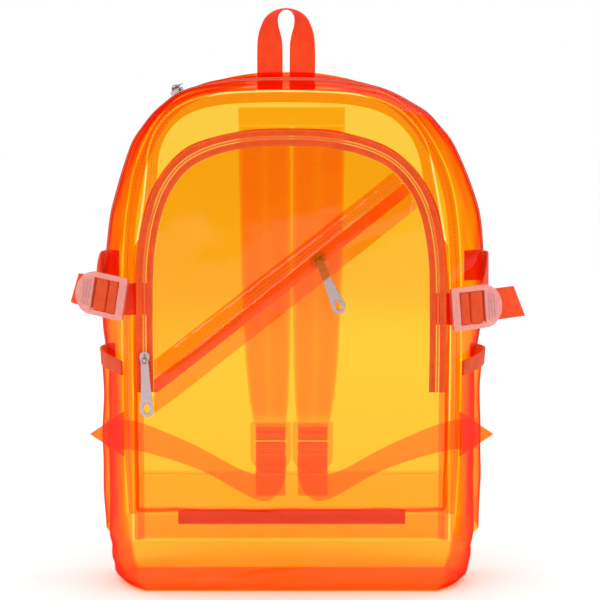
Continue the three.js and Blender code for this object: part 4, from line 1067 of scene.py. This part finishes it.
def flap_skin(x, z):
    below = below_of(x, z)
    sewn = smoothstep(POCKET_HALF - np.abs(x), FRONT_INSET, FLAP_WIDTH)
    rise = FLAP_LIFT * smoothstep(below, 0.06 * FLAP_WIDTH, zip_near) * sewn
    points = upright_points(x, z)
    waves = 0.5 * ripple(points, 55, 43) * smoothstep(below, 12, FLAP_WIDTH) * sewn
    return pocket_face(x, z) - FIT - CAD_WALL - rise + waves


flap_foot = pocket_zip_foot * 0.5
flap_inset_arch = arch_outline(pocket_arch, FRONT_INSET + FIT, 120, flap_foot, 1 - flap_foot)
flap_outline = clip(clip(flap_inset_arch, 0, True), FLAP_WIDTH, False)
clear_piece(cut_sheet("flap_sheet", flap_outline, flap_skin, WALL, step=4), "diagonal_flap",
            material=film("flap film", sheets=2.6, haze=0.06))


# Sliders and pulls
def polygon_arc(centre, radius, start, end, count):
    turns = np.linspace(start, end, count)
    radii = radius if hasattr(radius, "__len__") else (radius, radius)
    return [(centre[0] + radii[0] * math.cos(turn), centre[1] + radii[1] * math.sin(turn)) for turn in turns]


def quad_curve(start, control, end, count):
    share = np.linspace(0, 1, count)[:, None]
    start, control, end = (np.array(point, float) for point in (start, control, end))
    return [tuple(p) for p in (1 - share) ** 2 * start + 2 * share * (1 - share) * control + share ** 2 * end]


def tidy_loop(points):
    result = [points[0]]
    for point in points[1:]:
        if math.dist(point, result[-1]) > 1e-3:
            result.append(point)
    return result[:-1] if math.dist(result[0], result[-1]) < 1e-3 else result


def plate(loops, thickness):
    """Points and faces of a flat plate with holes, its thickness centred on z = 0"""
    loops = [tidy_loop(loop) for loop in loops]
    flat = [Vector(point) for loop in loops for point in loop]
    faces, start = [], 0
    for loop in loops:
        faces.append(list(range(start, start + len(loop))))
        start += len(loop)
    edges = [(face[i], face[(i + 1) % len(face)]) for face in faces for i in range(len(face))]
    cut = delaunay_2d_cdt(flat, edges, [], 2, 1e-6)
    places = np.array([tuple(point) for point in cut[0]])
    triangles = []
    for triangle in cut[2]:
        middle = places[list(triangle)].mean(axis=0)[None]
        holes = any(inside(middle, np.array(loop))[0] for loop in loops[1:])
        if inside(middle, np.array(loops[0]))[0] and not holes:
            triangles.append(tuple(triangle))
    count = len(places)
    used = {(t[i], t[(i + 1) % len(t)]) for t in triangles for i in range(len(t))}
    rim = [edge for edge in used if (edge[1], edge[0]) not in used]
    rim.sort()
    high = np.column_stack([places, np.full(count, thickness / 2)])
    low = np.column_stack([places, np.full(count, -thickness / 2)])
    faces = triangles + [tuple(i + count for i in reversed(t)) for t in triangles]
    faces += [(second, first, first + count, second + count) for first, second in rim]
    points = np.concatenate([high, low])
    return points, facing_out(points, faces)


def merged(parts):
    points, faces, start = [], [], 0
    for part_points, part_faces in parts:
        points.append(np.asarray(part_points, float))
        faces += [tuple(index + start for index in face) for face in part_faces]
        start += len(part_points)
    return np.concatenate(points), faces


def slider_shape():
    half_width, half_length = SLIDER_WIDTH / 2, SLIDER_LENGTH / 2
    outline = [(-half_width * 0.6, -half_length), (half_width * 0.6, -half_length)]
    outline += quad_curve((half_width, half_length * 0.3), (half_width, half_length), (0, half_length), 9)
    outline += quad_curve((0, half_length), (-half_width, half_length), (-half_width, half_length * 0.3), 9)
    plates = []
    for height in (0.45, SLIDER_THICK - 0.45):
        points, faces = plate([outline], 0.9)
        plates.append((points + np.array([0, 0, height]), faces))
    stem = polygon_arc((0, half_length * 0.45), 1.5, 0, 2 * math.pi, 17)
    neck, neck_faces = plate([stem], SLIDER_THICK - 0.4)
    plates.append((neck + np.array([0, 0, SLIDER_THICK / 2]), neck_faces))
    sink = 0.42
    bail = polygon_arc((0, 0), BAIL_INNER + BAIL_WIRE, -sink, math.pi + sink, 21)
    bail += polygon_arc((0, 0), BAIL_INNER, math.pi + sink, -sink, 21)
    points, faces = plate([bail], BAIL_WIRE * 1.3)
    upright = np.stack([points[:, 2], points[:, 0], points[:, 1] + HINGE_HEIGHT], axis=1)
    plates.append((upright, facing_out(upright, faces)))
    return merged(plates)


def pull_shape():
    neck, half = PULL_NECK / 2, PULL_WIDTH / 2
    ring = PULL_RING + PULL_WIRE / 2
    centre = -PULL_LENGTH + half
    outline = [(-ring, -PULL_RING), (-neck, -3 * PULL_RING)]
    outline += quad_curve((-neck, -3 * PULL_RING), (-neck, centre / 2), (-half, centre), 14)
    outline += polygon_arc((0, centre), half, math.pi, 2 * math.pi, 25)
    outline += quad_curve((half, centre), (neck, centre / 2), (neck, -3 * PULL_RING), 14)
    outline += polygon_arc((0, -PULL_RING), ring, 0, math.pi, 19)
    window = polygon_arc((0, -PULL_RING), PULL_RING - PULL_WIRE / 2, 0, 2 * math.pi, 21)
    eye = polygon_arc((0, centre + 1), PULL_EYE, 0, 2 * math.pi, 29)
    rim = polygon_arc((0, centre + 1), (PULL_EYE[0] + 1.1, PULL_EYE[1] + 1.1), 0, 2 * math.pi, 29)
    plate_part = plate([outline, window, eye], PULL_THICK)
    rim_part = plate([rim, eye], PULL_THICK + 0.5)
    return merged([plate_part, rim_part])


def placed(name, shape, basis, origin, sharp=35):
    """A shape set down with its x, y and z along the rows of a basis"""
    points, faces = shape
    world = np.asarray(points) @ np.asarray(basis) + np.asarray(origin)
    return new_object(name, world, facing_out(world, faces), sharp=sharp)


def add_slider(name, at, travel, outward, swing, slider_node, pull_node, body="root"):
    travel, outward = unit(travel), unit(outward)
    across = unit(np.cross(travel, outward))
    upright = np.cross(outward, across)
    basis = np.stack([across, upright, outward])
    slider = soften(placed(name + "_runner", slider_shape(), basis, at), 0.22)
    settle(slider, METAL, "pull_metal", slider_node)
    turned = np.stack([
        across * math.cos(swing) + upright * math.sin(swing),
        -across * math.sin(swing) + upright * math.cos(swing),
        outward,
    ])
    hinge = np.asarray(at) + outward * HINGE_HEIGHT
    pull = soften(placed(name + "_drop", pull_shape(), turned, hinge), 0.25)
    settle(pull, METAL, "pull_metal", pull_node, body=body)


coil_face_y = POCKET_TAPE_Y - TAPE - (COIL_THICK - TAPE) / 2
slider_place = arch_place(pocket_arch, pocket_arch.at_height(POCKET_SLIDER_HEIGHT), sum(COIL_BAND) / 2)
add_slider("pocket_zip", (slider_place[0], coil_face_y - FIT, slider_place[1]), (0, 0, 1), (0, -1, 0),
           POCKET_PULL_LEAN, "pocket_zip_slider", "pocket_zip_pull", body="pocket_pull")
flap_slider = diagonal_place(FLAP_SLIDER_ALONG, FLAP_ZIP_AT)
add_slider("diagonal_zip", (flap_slider[0], float(pocket_face(*flap_slider)) - FIT, flap_slider[1]),
           (math.cos(FLAP_ANGLE), 0, math.sin(FLAP_ANGLE)), (0, -1, 0),
           math.pi / 2 - FLAP_ANGLE + FLAP_PULL_LEAN, "diagonal_zip_slider", "diagonal_zip_pull")
main_share = float(crest_arch.at_height(MAIN_SLIDER_HEIGHT))
main_out = gusset_out(np.array(main_share), np.array(ZIP_AT))
main_travel = gusset(main_share + 0.01, ZIP_AT) - gusset(main_share - 0.01, ZIP_AT)
add_slider("main_zip", gusset(main_share, ZIP_AT) + main_out * ((COIL_THICK - TAPE) / 2 + FIT), main_travel,
           main_out, -math.pi / 2, "main_zip_slider", "main_zip_pull")


# Side pockets
def side_pocket_grid(side, low, high, rows, columns, lift=0.0):
    height = np.linspace(low, high, rows + 1)[:, None]
    across = np.linspace(SIDE_POCKET_FRONT, SIDE_POCKET_BACK, columns + 1)[None, :]
    height, across = np.broadcast_arrays(height, across)
    share = crest_arch.at_height(height)
    along = share if side == "left" else 1 - share
    span = (across - SIDE_POCKET_FRONT) / (SIDE_POCKET_BACK - SIDE_POCKET_FRONT)
    rise = (height - BOOT_HEIGHT) / (SIDE_POCKET_RIM - BOOT_HEIGHT)
    filled = smoothstep(rise, 0, SIDE_POCKET_FULL_BY)
    full = np.sin(math.pi * span ** 0.8) * mix(SIDE_POCKET_FOOT, 1, filled)
    out = unit(gusset_out(along, across) * np.array([1, 1, 0]))
    grid = gusset(along, across)
    folds = 0.5 * ripple(grid, 42, 53 if side == "left" else 59) * np.sin(math.pi * span)
    return grid + out * (FIT + CAD_WALL + SIDE_POCKET_BULGE * full + folds - 0.4 + lift)[..., None]


for side in ("left", "right"):
    wall_grid = side_pocket_grid(side, BOOT_HEIGHT + 2 * FIT, SIDE_POCKET_RIM, 34, 30)
    clear_piece(shell(f"side_pocket_sheet_{side}", wall_grid, WALL), f"side_pocket_{side}")
    hem_high = SIDE_POCKET_RIM + SIDE_BINDING_HEIGHT
    hem_grid = side_pocket_grid(side, SIDE_POCKET_RIM + FIT, hem_high, 6, 30, lift=0.8)
    cloth_piece(shell(f"side_pocket_hem_{side}", hem_grid, SIDE_BINDING_THICK), f"side_pocket_binding_{side}")


# Ladder buckles
def bar_outline(low, high, reach):
    return [(low, -reach), (high, -reach), (high, reach), (low, reach)]


def ladder_shape():
    """Frame with two crossbars: inner end on x = 0, tab along +x, front on z = 0, back at -thickness"""
    half = BUCKLE_WIDTH / 2
    round_off = 2.0
    outline = polygon_arc((round_off, -half + round_off), round_off, -math.pi, -math.pi / 2, 6)
    outline += polygon_arc((TAB_FROM, 0), (BUCKLE_TAB, half), -math.pi / 2, math.pi / 2, 33)
    outline += polygon_arc((round_off, half - round_off), round_off, math.pi / 2, math.pi, 6)
    open_half = half - BUCKLE_RAIL
    opening = bar_outline(BUCKLE_END_BAR, TAB_FROM, open_half)
    rim, rim_faces = plate([outline, opening], BUCKLE_THICK)
    parts = [(rim - np.array([0, 0, BUCKLE_THICK / 2]), rim_faces)]
    for low, high in (INNER_BAR, OUTER_BAR):
        reach = open_half + 0.5
        bar, bar_faces = plate([bar_outline(low, high, reach)], BUCKLE_BAR_THICK)
        parts.append((bar - np.array([0, 0, BUCKLE_THICK - BUCKLE_BAR_THICK / 2]), bar_faces))
    for step in range(3):
        at = TAB_FROM + 3.2 + 2.4 * step
        reach = half * 0.62 * math.sqrt(max(1 - ((at - TAB_FROM) / BUCKLE_TAB) ** 2, 0.05))
        parts.append(plate([bar_outline(at - 0.5, at + 0.5, reach)], 0.8))
    return merged(parts)


BEHIND = BUCKLE_THICK + FIT + WEB_THICK / 2
SECOND_LAYER = BEHIND + WEB_THICK + 2 * FIT
OVER_BAR = BUCKLE_THICK - BUCKLE_BAR_THICK - FIT - WEB_THICK / 2
BESIDE_BAR = WEB_THICK / 2 + 2 * FIT + 0.1


def round_bar(low, high):
    return [
        (low - BESIDE_BAR, BUCKLE_THICK + 0.4),
        (low - BESIDE_BAR, BUCKLE_THICK - 1.4),
        (low - BESIDE_BAR + 0.2, OVER_BAR + 0.3),
        (low + 0.3, OVER_BAR),
        (high - 0.3, OVER_BAR),
        (high + BESIDE_BAR - 0.2, OVER_BAR + 0.3),
        (high + BESIDE_BAR, BUCKLE_THICK - 1.4),
        (high + BESIDE_BAR, BUCKLE_THICK + 0.4),
    ]


FIXED_PASS = [
    (0.5, BEHIND), (BUCKLE_END_BAR - 0.5, BEHIND), *round_bar(*INNER_BAR),
    (INNER_BAR[1] + BESIDE_BAR - 0.9, SECOND_LAYER - 0.9), (INNER_BAR[1] - 1.5, SECOND_LAYER),
    (BUCKLE_END_BAR / 2, SECOND_LAYER),
]
ADJUST_PASS = [
    (TAB_FROM - 2, SECOND_LAYER), (OUTER_BAR[0] + 1.2, SECOND_LAYER),
    (OUTER_BAR[0] - BESIDE_BAR + 0.9, SECOND_LAYER - 0.9), *round_bar(*OUTER_BAR),
    (TAB_FROM + 0.6, BEHIND), (BUCKLE_LENGTH - 4, BEHIND),
]


def webbing_piece(piece, *nodes):
    return settle(piece, WEBBING, "webbing", *nodes)


def buckle_piece(name, basis, origin, node_name, plastic=FROSTED):
    buckle = soften(placed(name, ladder_shape(), basis, origin), 0.55, segments=3)
    return settle(buckle, plastic, "frosted_buckle", node_name)


def add_side_strap(side):
    setup = SIDES[side]
    sign, turn, tip = setup["sign"], setup["turn"], setup["tip"]
    level = np.array([sign * math.cos(turn), math.sin(turn), 0])
    along = level * math.cos(tip) + np.array([0, 0, math.sin(tip)])
    across = -level * math.sin(tip) + np.array([0, 0, math.cos(tip)])
    depth = np.array([-sign * math.sin(turn), math.cos(turn), 0])
    origin = np.array([sign * setup["x"], BUCKLE_Y, setup["height"]])
    buckle_piece(f"buckle_{side}", np.stack([along, across, -depth]), origin, f"side_buckle_{side}")

    def place(distance, back):
        return origin + along * distance + depth * back

    upright = np.array([0, 0, 1.0])
    anchor = sign * FIXED_END

    def on_panel(x):
        return np.array([x, float(front_face(x, setup["height"])) - FIT - WEB_THICK / 2, setup["height"]])

    fixed = [
        (on_panel(anchor), upright),
        (on_panel(anchor + sign * 10), upright),
        (np.array([sign * (FRONT_HALF - 1), FRONT_Y - 3, setup["height"]]), upright),
    ]
    fixed += [(place(*step), across) for step in FIXED_PASS]
    webbing_piece(strap(f"fixed_strap_{side}", fixed), f"side_strap_fixed_{side}")
    share = float(crest_arch.at_height(SIDE_ANCHOR_HEIGHT))
    run = share if side == "left" else 1 - share

    def on_gusset(t, lift):
        out = unit(gusset_out(np.array(run), np.array(t)) * np.array([1, 1, 0]))
        return gusset(run, t) + out * (FIT + WEB_THICK / 2 + lift), upright

    roll = -sign * setup["roll"]
    tail_across = across * math.cos(roll) + np.cross(depth, across) * math.sin(roll)
    adjust = [on_gusset(0.985, FIT), on_gusset(0.85, 2 * FIT), on_gusset(0.68, 3 * FIT), on_gusset(0.5, 3)]
    adjust += [(place(*step), across) for step in ADJUST_PASS]
    adjust.append((place(setup["tail"], BEHIND + 1.5), tail_across))
    webbing_piece(strap(f"adjust_strap_{side}", adjust, slant=-sign * 6), f"side_strap_adjust_{side}")


for side in SIDES:
    add_side_strap(side)


# Carry handle
def handle():
    foot = BACK_TOP - HANDLE_SEWN
    sewn_y = float(back_face(HANDLE_HALF_SPAN, foot)) + FIT + WEB_THICK / 2
    crown = BACK_TOP + HANDLE_RISE - HANDLE_HALF_SPAN
    knee = mix(BACK_TOP, crown, 0.55)

    def station(x, z, turn):
        return np.array([x + TOP_LEAN, sewn_y, z]), np.array([math.cos(turn), math.sin(turn), 0])

    stations = [station(-HANDLE_HALF_SPAN, foot, 0), station(-HANDLE_HALF_SPAN, BACK_TOP, 0),
                station(-HANDLE_HALF_SPAN, knee, 0.2)]
    for step in range(7):
        angle = math.pi * (1 - step / 6)
        x, z = HANDLE_HALF_SPAN * math.cos(angle), crown + HANDLE_HALF_SPAN * math.sin(angle)
        stations.append(station(x, z, mix(0.9, math.pi - 0.9, step / 6)))
    stations += [station(HANDLE_HALF_SPAN, knee, math.pi - 0.2), station(HANDLE_HALF_SPAN, BACK_TOP, math.pi),
                 station(HANDLE_HALF_SPAN, foot, math.pi)]
    return strap("handle_strap", stations, width=HANDLE_WIDTH)


webbing_piece(handle(), "carry_handle")

# Shoulder straps
STRAP_BACK_Y = BACK_Y + BACK_BULGE + FIT


def strap_bow(z):
    return STRAP_BOW * np.sin(math.pi * np.clip((z - STRAP_BOTTOM) / (STRAP_TOP - STRAP_BOTTOM), 0, 1))


def shoulder_strap(side, sign):
    table = np.array(STRAP_EDGES)
    down = np.linspace(0, 1, 61)[:, None]
    share = np.linspace(0, 1, 13)[None, :]
    outer = np.interp(down, table[:, 0], table[:, 1]) * STRAP_WIDTH
    inner = np.interp(down, table[:, 0], table[:, 2]) * STRAP_WIDTH
    z = mix(STRAP_TOP, STRAP_BOTTOM, down) + 0 * share
    x = sign * (FIT + mix(inner, outer, share))
    middle = STRAP_BACK_Y + strap_bow(z) + STRAP_THICK / 2
    edge = np.minimum(np.minimum(share, 1 - share) * 12, 1)
    ends = np.minimum(np.minimum(down, 1 - down) * 30, 1)
    quilting = 1 - 0.35 * np.exp(-((share - 0.5) / 0.05) ** 2)
    half_thick = STRAP_THICK / 2 * (0.28 + 0.72 * np.sqrt(edge * ends)) * quilting
    points = np.stack([x, middle, z], axis=-1)
    half_thick = half_thick * (0.97 + 0.03 * ripple(points, 40, 61))
    front = np.stack([x, middle - half_thick, z], axis=-1)
    back = np.stack([x, middle + half_thick, z], axis=-1)
    rows, columns = front.shape[:2]
    loop = [np.concatenate([front[row], back[row][::-1]]) for row in range(rows)]
    count = 2 * columns
    points = np.concatenate(loop)
    faces = ring_faces(rows, count)
    for start in (0, (rows - 1) * count):
        for step in range(columns - 1):
            a, b = start + step, start + step + 1
            c, d = start + count - 2 - step, start + count - 1 - step
            face = (a, b, c, d)
            faces.append(face[::-1] if start else face)
    faces = facing_out(points, faces)
    piece = new_object(f"padded_strap_{side}", points, faces, sharp=80)
    smooth = piece.modifiers.new("round", "SUBSURF")
    smooth.levels = smooth.render_levels = 1
    settle(piece, PVC_STRAP, "strap_pad", f"shoulder_strap_{side}")


yoke = rectangle(STRAP_WIDTH, STRAP_TOP + FIT, STRAP_TOP + YOKE_HEIGHT)
clear_piece(cut_sheet("yoke_sheet", yoke, level(STRAP_BACK_Y + 2 * CAD_WALL), WALL * 2, facing=1),
            "strap_yoke")

TAB_MIDDLE = (TAB_LOW + TAB_HIGH) / 2
LADDER_ACROSS = 0.4 * STRAP_WIDTH
FROM_TAB_TIP = 14
FROM_BACK_EDGE = 12
for side, sign in (("left", -1), ("right", 1)):
    shoulder_strap(side, sign)
    ladder_front = STRAP_BACK_Y + STRAP_THICK
    top = STRAP_BOTTOM - FIT
    buckle_piece(f"ladder_{side}", np.array([[0, 0, -1.0], [-1.0, 0, 0], [0, 1.0, 0]]),
                 np.array([sign * LADDER_ACROSS, ladder_front, top]), f"strap_ladder_{side}",
                 plastic=BACK_BUCKLE)

    def hung(distance, back):
        place = np.array([sign * LADDER_ACROSS, ladder_front - back, top - distance])
        return place, np.array([float(sign), 0, 0])

    clear_piece(strap(f"loop_{side}", [hung(*step) for step in FIXED_PASS]), f"strap_loop_{side}",
                material=PVC_BAND)
    tab_base = BACK_HALF * 0.985
    tab = [(sign * tab_base, TAB_LOW), (sign * TAB_REACH, TAB_MIDDLE), (sign * tab_base, TAB_HIGH)]
    tab_y = BACK_Y + FIT
    clear_piece(cut_sheet(f"tab_{side}", tab, level(tab_y + CAD_WALL), CAD_WALL, facing=1),
                f"corner_tab_{side}", material=PVC_TAB)
    on_tab = tab_y + CAD_WALL + FIT + WEB_THICK / 2
    on_back = ladder_front - SECOND_LAYER
    turn_from = LADDER_ACROSS + LOWER_TURN
    turn_z = STRAP_BOTTOM - BUCKLE_LENGTH - 1
    edge_x = sign * (BACK_HALF - FROM_BACK_EDGE)
    turning_x = sign * (LADDER_ACROSS + 0.35 * LOWER_TURN)
    lower = [
        ((sign * (TAB_REACH - FROM_TAB_TIP), on_tab, TAB_MIDDLE), (0, 0, 1)),
        ((edge_x, mix(on_tab, on_back, 0.5), TAB_MIDDLE - 2), (sign * 0.1, 0, 1)),
        ((sign * mix(turn_from, BACK_HALF, 0.4), on_back, mix(turn_z, TAB_MIDDLE, 0.4)), (sign * 0.4, 0, 1)),
        ((sign * turn_from, on_back, turn_z - 0.5 * LOWER_TURN), (sign * 0.35, 0, 1)),
        ((turning_x, on_back, turn_z - 0.6 * LOWER_TURN), (sign * 0.5, 0, 0.9)),
        ((sign * LADDER_ACROSS, on_back, turn_z), (sign, 0, 0)),
    ]
    lower = [(np.array(place, float), np.array(across, float)) for place, across in lower]
    lower += [hung(*step) for step in ADJUST_PASS]
    tail_end = np.array([sign * LADDER_ACROSS, ladder_front - BEHIND, TAIL_FOOT])
    lower.append((tail_end, np.array([float(sign), 0, 0])))
    clear_piece(strap(f"lower_strap_{side}", lower), f"lower_webbing_{side}", material=PVC_BAND)

BASE_TAPE_FOOT = BOOT_HEIGHT - 2 - BASE_TAPE_HEIGHT / 2
base_tape = rectangle(BASE_TAPE_LENGTH / 2, BASE_TAPE_FOOT, BASE_TAPE_FOOT + BASE_TAPE_HEIGHT)
cloth_piece(cut_sheet("base_tape", base_tape, level(BACK_Y + FIT + TAPE), TAPE, facing=1), "back_base_tape")


# Stitching
def line_on(places, face, out_y=-1.0):
    places = np.asarray(places, float)
    points = np.stack([places[:, 0], face(places[:, 0], places[:, 1]), places[:, 1]], axis=-1)
    return points, np.tile([0.0, out_y, 0.0], (len(points), 1))


def diagonal_line(below, reach=150):
    along = np.linspace(-reach, reach, 200)
    places = diagonal_place(along, np.full_like(along, below))
    return places[inside(places, flap_outline)] if below > 0 else places


def thread_piece(name, rows, lift=0.12):
    return settle(stitches(name, rows, lift=lift), THREAD, "zip_cloth")


thread_piece("stitching_front_seam", [line_on(arch_outline(front_arch, SEAM_INSET + 3.0, 300), front_skin)])
thread_piece("stitching_back_seam", [line_on(arch_outline(back_arch, SEAM_INSET + 3.0, 300), back_skin, 1.0)])
thread_piece("stitching_flap", [line_on(diagonal_line(below), flap_skin) for below in (6.5, 9.0)])
pocket_rows = [
    line_on(arch_outline(pocket_arch, inset, 300, pocket_zip_foot, 1 - pocket_zip_foot), tape_puff)
    for inset in (OUTER_TAPE[0] + 1.1, INNER_TAPE[1] - 1.1)
]
thread_piece("stitching_pocket_zip", pocket_rows)
band_rows = []
for height in (band_top - 2.5, POCKET_BOTTOM + 5):
    x = np.linspace(-POCKET_HALF + 6, POCKET_HALF - 6, 120)
    band_rows.append(line_on(np.stack([x, np.full_like(x, height)], axis=-1), pocket_skin))
thread_piece("stitching_pocket_band", band_rows)


# Stage, light and camera
def stage_material(name, colour):
    material, tree = blank(name)
    output = node(tree, "ShaderNodeOutputMaterial")
    surface = node(tree, "ShaderNodeBsdfPrincipled", Base_Color=colour, Roughness=0.9, Specular_IOR_Level=0.0)
    tree.links.new(surface.outputs[0], output.inputs["Surface"])
    return material


def build_stage():
    size = 6000
    points = np.array([[-size, -size, 0], [size, -size, 0], [size, size, 0], [-size, size, 0]], float)
    floor = new_object("floor", points, [(0, 1, 2, 3)], smooth=False)
    floor.data.materials.append(stage_material("pale floor", (1, 1, 1, 1)))


def area_light(name, place, target, size, power):
    data = bpy.data.lights.new(name, "AREA")
    data.shape = "RECTANGLE"
    data.size, data.size_y = size
    data.energy = power
    light = bpy.data.objects.new(name, data)
    light.location = place
    light.rotation_euler = (Vector(target) - Vector(place)).to_track_quat("-Z", "Y").to_euler()
    bpy.context.scene.collection.objects.link(light)


def build_world():
    world = bpy.data.worlds.new("studio")
    bpy.context.scene.world = world
    world.use_nodes = True
    tree = world.node_tree
    tree.nodes.clear()
    output = node(tree, "ShaderNodeOutputWorld")
    seen = node(tree, "ShaderNodeBackground", Color=(1, 1, 1, 1), Strength=1.0)
    lit = node(tree, "ShaderNodeBackground", Color=(1, 1, 1, 1), Strength=0.12)
    path = node(tree, "ShaderNodeLightPath")
    both = node(tree, "ShaderNodeMixShader")
    tree.links.new(path.outputs["Is Glossy Ray"], both.inputs[0])
    tree.links.new(seen.outputs[0], both.inputs[1])
    tree.links.new(lit.outputs[0], both.inputs[2])
    tree.links.new(both.outputs[0], output.inputs["Surface"])


def build_camera():
    distance, elevation = 2.4, math.radians(6)
    target = Vector((0.0069, 0, 0.2297))
    data = bpy.data.cameras.new("camera")
    data.sensor_width = 36
    data.lens = 36 * distance / 0.486
    data.clip_end = 50
    camera = bpy.data.objects.new("camera", data)
    camera.location = target + Vector((0, -math.cos(elevation), math.sin(elevation))) * distance
    camera.rotation_euler = (target - camera.location).to_track_quat("-Z", "Y").to_euler()
    bpy.context.scene.collection.objects.link(camera)
    bpy.context.scene.camera = camera


build_stage()
build_world()
area_light("key", (-1.0, -1.7, 1.2), (0, 0, 0.25), (0.35, 1.1), 5)
area_light("fill", (1.6, -1.2, 0.6), (0, 0, 0.25), (0.25, 1.2), 4)
area_light("top", (0.0, -0.3, 1.9), (0, 0, 0.3), (0.9, 0.5), 3)
area_light("back", (0.3, 1.8, 1.0), (0, 0, 0.2), (0.8, 1.0), 4)
build_camera()
scene = bpy.context.scene
scene.view_settings.view_transform = "Standard"
scene.cycles.transparent_max_bounces = 96
scene.cycles.max_bounces = 16
